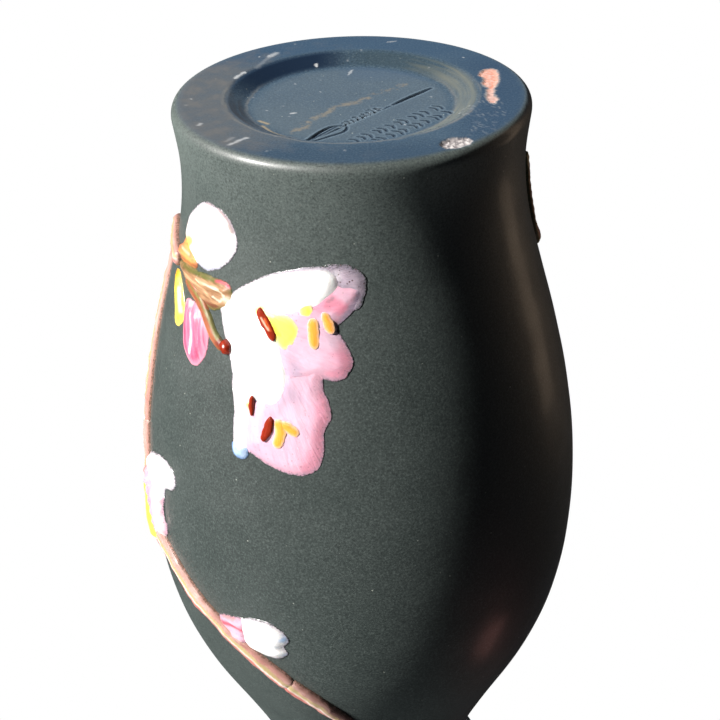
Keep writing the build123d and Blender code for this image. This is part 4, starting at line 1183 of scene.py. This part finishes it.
def make_blossom(name, centre, turn, scale):
    rose, deep = (242, 178, 200), (226, 120, 150)
    for i in range(5):
        length = PETAL_LENGTH * scale * (1 + 0.07 * sin(2.1 * i + turn))
        half = PETAL_WIDTH * scale / 2 * (1 + 0.05 * cos(1.7 * i + turn))
        shape = [(PETAL_INNER + u * length, v * half) for u, v in PETAL_SHAPE]
        outline = around(centre, shape, turn + 72 * i)
        root, tip = around(centre, [(PETAL_INNER, 0), (PETAL_INNER + length, 0)], turn + 72 * i)
        middle = around(centre, [(PETAL_INNER + 0.85 * length, (-1) ** i * 0.3 * half)], turn + 72 * i)[0]
        pink = (i + len(name)) % 3 == 0
        tints = [(*root, 4.5 * scale, deep, 0.55), (*middle, 5.0 * scale, rose, 0.55 if pink else 0.3)]
        enamel(
            f"{name}_petal_{i + 1}", [outline], PINK if pink else WHITE, "white_enamel",
            1.25 + 0.06 * (i % 3), edge=2.4, soft=True, detail=petal_veins, axis=(root, tip), tints=tints,
            wobble=0.25, joined=[round_outline(*centre, 5.5 * scale)],
        )
    star = [(r * cos(radians(36 * i)), r * sin(radians(36 * i))) for i, r in enumerate([3.9, 3.0] * 5)]
    enamel(
        f"{name}_heart", [around(centre, star, turn)], YELLOW, "yellow_enamel", 1.2, base=0.9, edge=2.4,
        wobble=0.2, step=0.4, tints=[(*centre, 1.6, (206, 150, 40), 0.6)], joined=[round_outline(*centre, 6)],
    )
    outlines = []
    for i in range(5):
        reach = (6.4 + 1.1 * (i % 2)) * scale
        spin = turn + 72 * i + 14 * sin(3 * i + 1)
        tip = [(reach - 1.0, 0.55), (reach + 0.9, 0.95), (reach + 1.9, 0), (reach + 0.9, -0.95),
               (reach - 1.0, -0.55)]
        outlines.append(around(centre, tip, spin))
    enamel(f"{name}_anthers", outlines, ORANGE, "orange_enamel", 0.8, base=1.1, step=0.35, joined=outlines)


def make_far_side():
    for name, (centre, turn, scale) in BLOSSOMS.items():
        make_blossom(name, centre, turn, scale)
    enamel_set("back_leaves", LEAVES, LEAF_SHAPE, LEAF, "leaf_enamel", 1.15, 1.8, leaf_veins, 4)
    enamel_set("back_bud_petals", BACK_BUDS, BUD_SHAPE, PINK, "white_enamel", 1.45, 2.2, groove, 4)
    enamel_set("back_bud_calyxes", BACK_BUDS, BUD_CALYX_SHAPE, OLIVE, "orange_enamel", 1.6, 1.6, groove, 2)
    # The pale patch at the leaf's tip is a painted highlight.
    enamel(
        "right_leaf", [RIGHT_LEAF], BROWN, "leaf_enamel", 1.15, edge=1.5, detail=leaf_veins,
        axis=((266, 45), (274, 17)), tints=[(274, 18, 4, (206, 186, 140), 0.7)],
    )


def enamel_set(node, places, shape, material, slot_name, height, edge, detail, tip_at):
    """One mesh piece for each solid of a node that holds several alike, at (centre, turn) places."""
    for i, (centre, turn) in enumerate(places):
        outline = around(centre, shape, turn)
        enamel(
            f"{node}_{i + 1}", [outline], material, slot_name, height, edge=edge, detail=detail,
            axis=(outline[0], outline[tip_at]), nodes=[node], wobble=0.2,
        )


# ---------------------------------------------------------------- camera, lights, floor
CAMERA_DISTANCE = 8.0 * FOOT_RADIUS * MM  # from the middle of the foot
CAMERA_BELOW = radians(20.85)  # how far under the foot's plane the camera stands
CAMERA_ROLL = radians(180 - 1.72)  # the vase is seen standing on its mouth
AIM_DROP = (-0.00627, 0.18848)  # where the foot's middle is in the view, as tangents right and up
LENS = 70.94
LIGHTS = [  # name, direction, distance, width, height, power, colour, height aimed at, seen in reflections
    ("key", (0.75, -0.345, -0.57), 0.9, 0.12, 0.12, 18, (1.0, 0.97, 0.93), 0.06, True),
    ("sky", (-0.1, 0.93, -0.50), 1.1, 0.8, 0.8, 1.9, (0.50, 0.72, 1.0), 0, True),
    ("warm_side", (-0.90, 0.43, -0.10), 0.8, 0.2, 0.9, 0.55, (1.0, 0.74, 0.52), 0.06, True),
    ("warm_table", (-0.61, -0.06, 0.79), 0.9, 0.16, 0.16, 0.10, (1.0, 0.42, 0.36), 0.15, True),
    ("overhead", (0.62, -0.30, 0.80), 1.1, 0.6, 0.6, 15, (1, 1, 1), 0.12, False),
    ("back_fill", (-0.45, 0.80, 0.75), 1.3, 0.7, 0.7, 14, (0.94, 0.97, 1.0), 0.12, False),
]


def make_camera():
    data = bpy.data.cameras.new("camera")
    data.lens = LENS
    data.sensor_width = 36
    camera = add("camera", data)
    place = Vector((0, -cos(CAMERA_BELOW), -sin(CAMERA_BELOW))) * CAMERA_DISTANCE
    ahead = -place.normalized()
    right = Vector((1, 0, 0))
    up = right.cross(ahead)
    level = Matrix((right, up, -ahead)).transposed()
    rolled = level @ Matrix.Rotation(CAMERA_ROLL, 3, "Z")
    drop = Vector((*AIM_DROP, -1)).normalized()
    swing = Vector((0, 0, -1)).rotation_difference(drop).to_matrix()
    camera.matrix_world = Matrix.Translation(place) @ (rolled @ swing.transposed()).to_4x4()
    bpy.context.scene.camera = camera


def make_lights():
    for name, direction, distance, wide, tall, power, colour, aim, mirrored in LIGHTS:
        data = bpy.data.lights.new(name, "AREA")
        data.shape = "RECTANGLE"
        data.size, data.size_y, data.energy, data.color = wide, tall, power, colour
        light = add(name, data)
        light.visible_camera, light.visible_glossy = False, mirrored
        towards = Vector(direction).normalized()
        turned = towards.to_track_quat("Z", "Y").to_matrix().to_4x4()
        light.matrix_world = Matrix.Translation(Vector((0, 0, aim)) + towards * distance) @ turned
    world = bpy.data.worlds.new("studio")
    bpy.context.scene.world = world
    world.use_nodes = True
    tree = world.node_tree
    tree.nodes.clear()
    out = tree.nodes.new("ShaderNodeOutputWorld")
    seen, dim = (tree.nodes.new("ShaderNodeBackground") for _ in range(2))
    seen.inputs["Color"].default_value = (1, 1, 1, 1)
    dim.inputs["Color"].default_value = (0.80, 0.88, 1.0, 1)
    dim.inputs["Strength"].default_value = 0.025
    path, mix = tree.nodes.new("ShaderNodeLightPath"), tree.nodes.new("ShaderNodeMixShader")
    tree.links.new(path.outputs["Is Camera Ray"], mix.inputs["Fac"])
    tree.links.new(dim.outputs[0], mix.inputs[1])
    tree.links.new(seen.outputs[0], mix.inputs[2])
    tree.links.new(mix.outputs[0], out.inputs["Surface"])


def make_floor():
    """A pale floor under the foot that is seen from above only, so the foot can be seen from below."""
    n = Nodes("pale_floor")
    grain = n.noise(n.place(), 60, 3)
    reach = n.node("VectorMath", "Value", {0: n.place()}, operation="LENGTH")
    far = n.ramp(reach, (0.12, 0.0), (0.7, 1.0))
    grey = n.mix(grain, (0.30, 0.30, 0.30), (0.33, 0.33, 0.33))
    n.set(Base_Color=n.mix(far, grey, (0.0, 0.0, 0.0)), Roughness=0.9, Specular_IOR_Level=0.0)
    n.set(Emission_Color=n.mix(far, (0.58, 0.58, 0.58), (1.0, 1.0, 1.0)), Emission_Strength=1.0)
    front = n.math("SUBTRACT", 1.0, n.node("NewGeometry", "Backfacing", {}))
    seen = n.math("MULTIPLY", n.node("LightPath", "Is Camera Ray", {}), front)
    clear = n.node("BsdfTransparent", 0, {})
    mixed = n.node("MixShader", 0, {"Fac": seen, 1: clear, 2: n.shader.outputs[0]})
    n.link(mixed, n.tree.nodes["Material Output"].inputs["Surface"])
    mesh = bpy.data.meshes.new("floor")
    corners = [(FLOOR_HALF * x, FLOOR_HALF * y, FLOOR_DROP) for x, y in ((-1, -1), (1, -1), (1, 1), (-1, 1))]
    mesh.from_pydata(corners, [], [(0, 1, 2, 3)])
    mesh.materials.append(n.material)
    add("floor", mesh)


make_camera()
make_lights()
make_floor()
make_foot()
make_wall()
make_branches()
make_spray()
make_front_blossom()
make_side_buds()
make_far_side()
bpy.context.scene.view_settings.view_transform = "Standard"


bpy.context.view_layer.update()
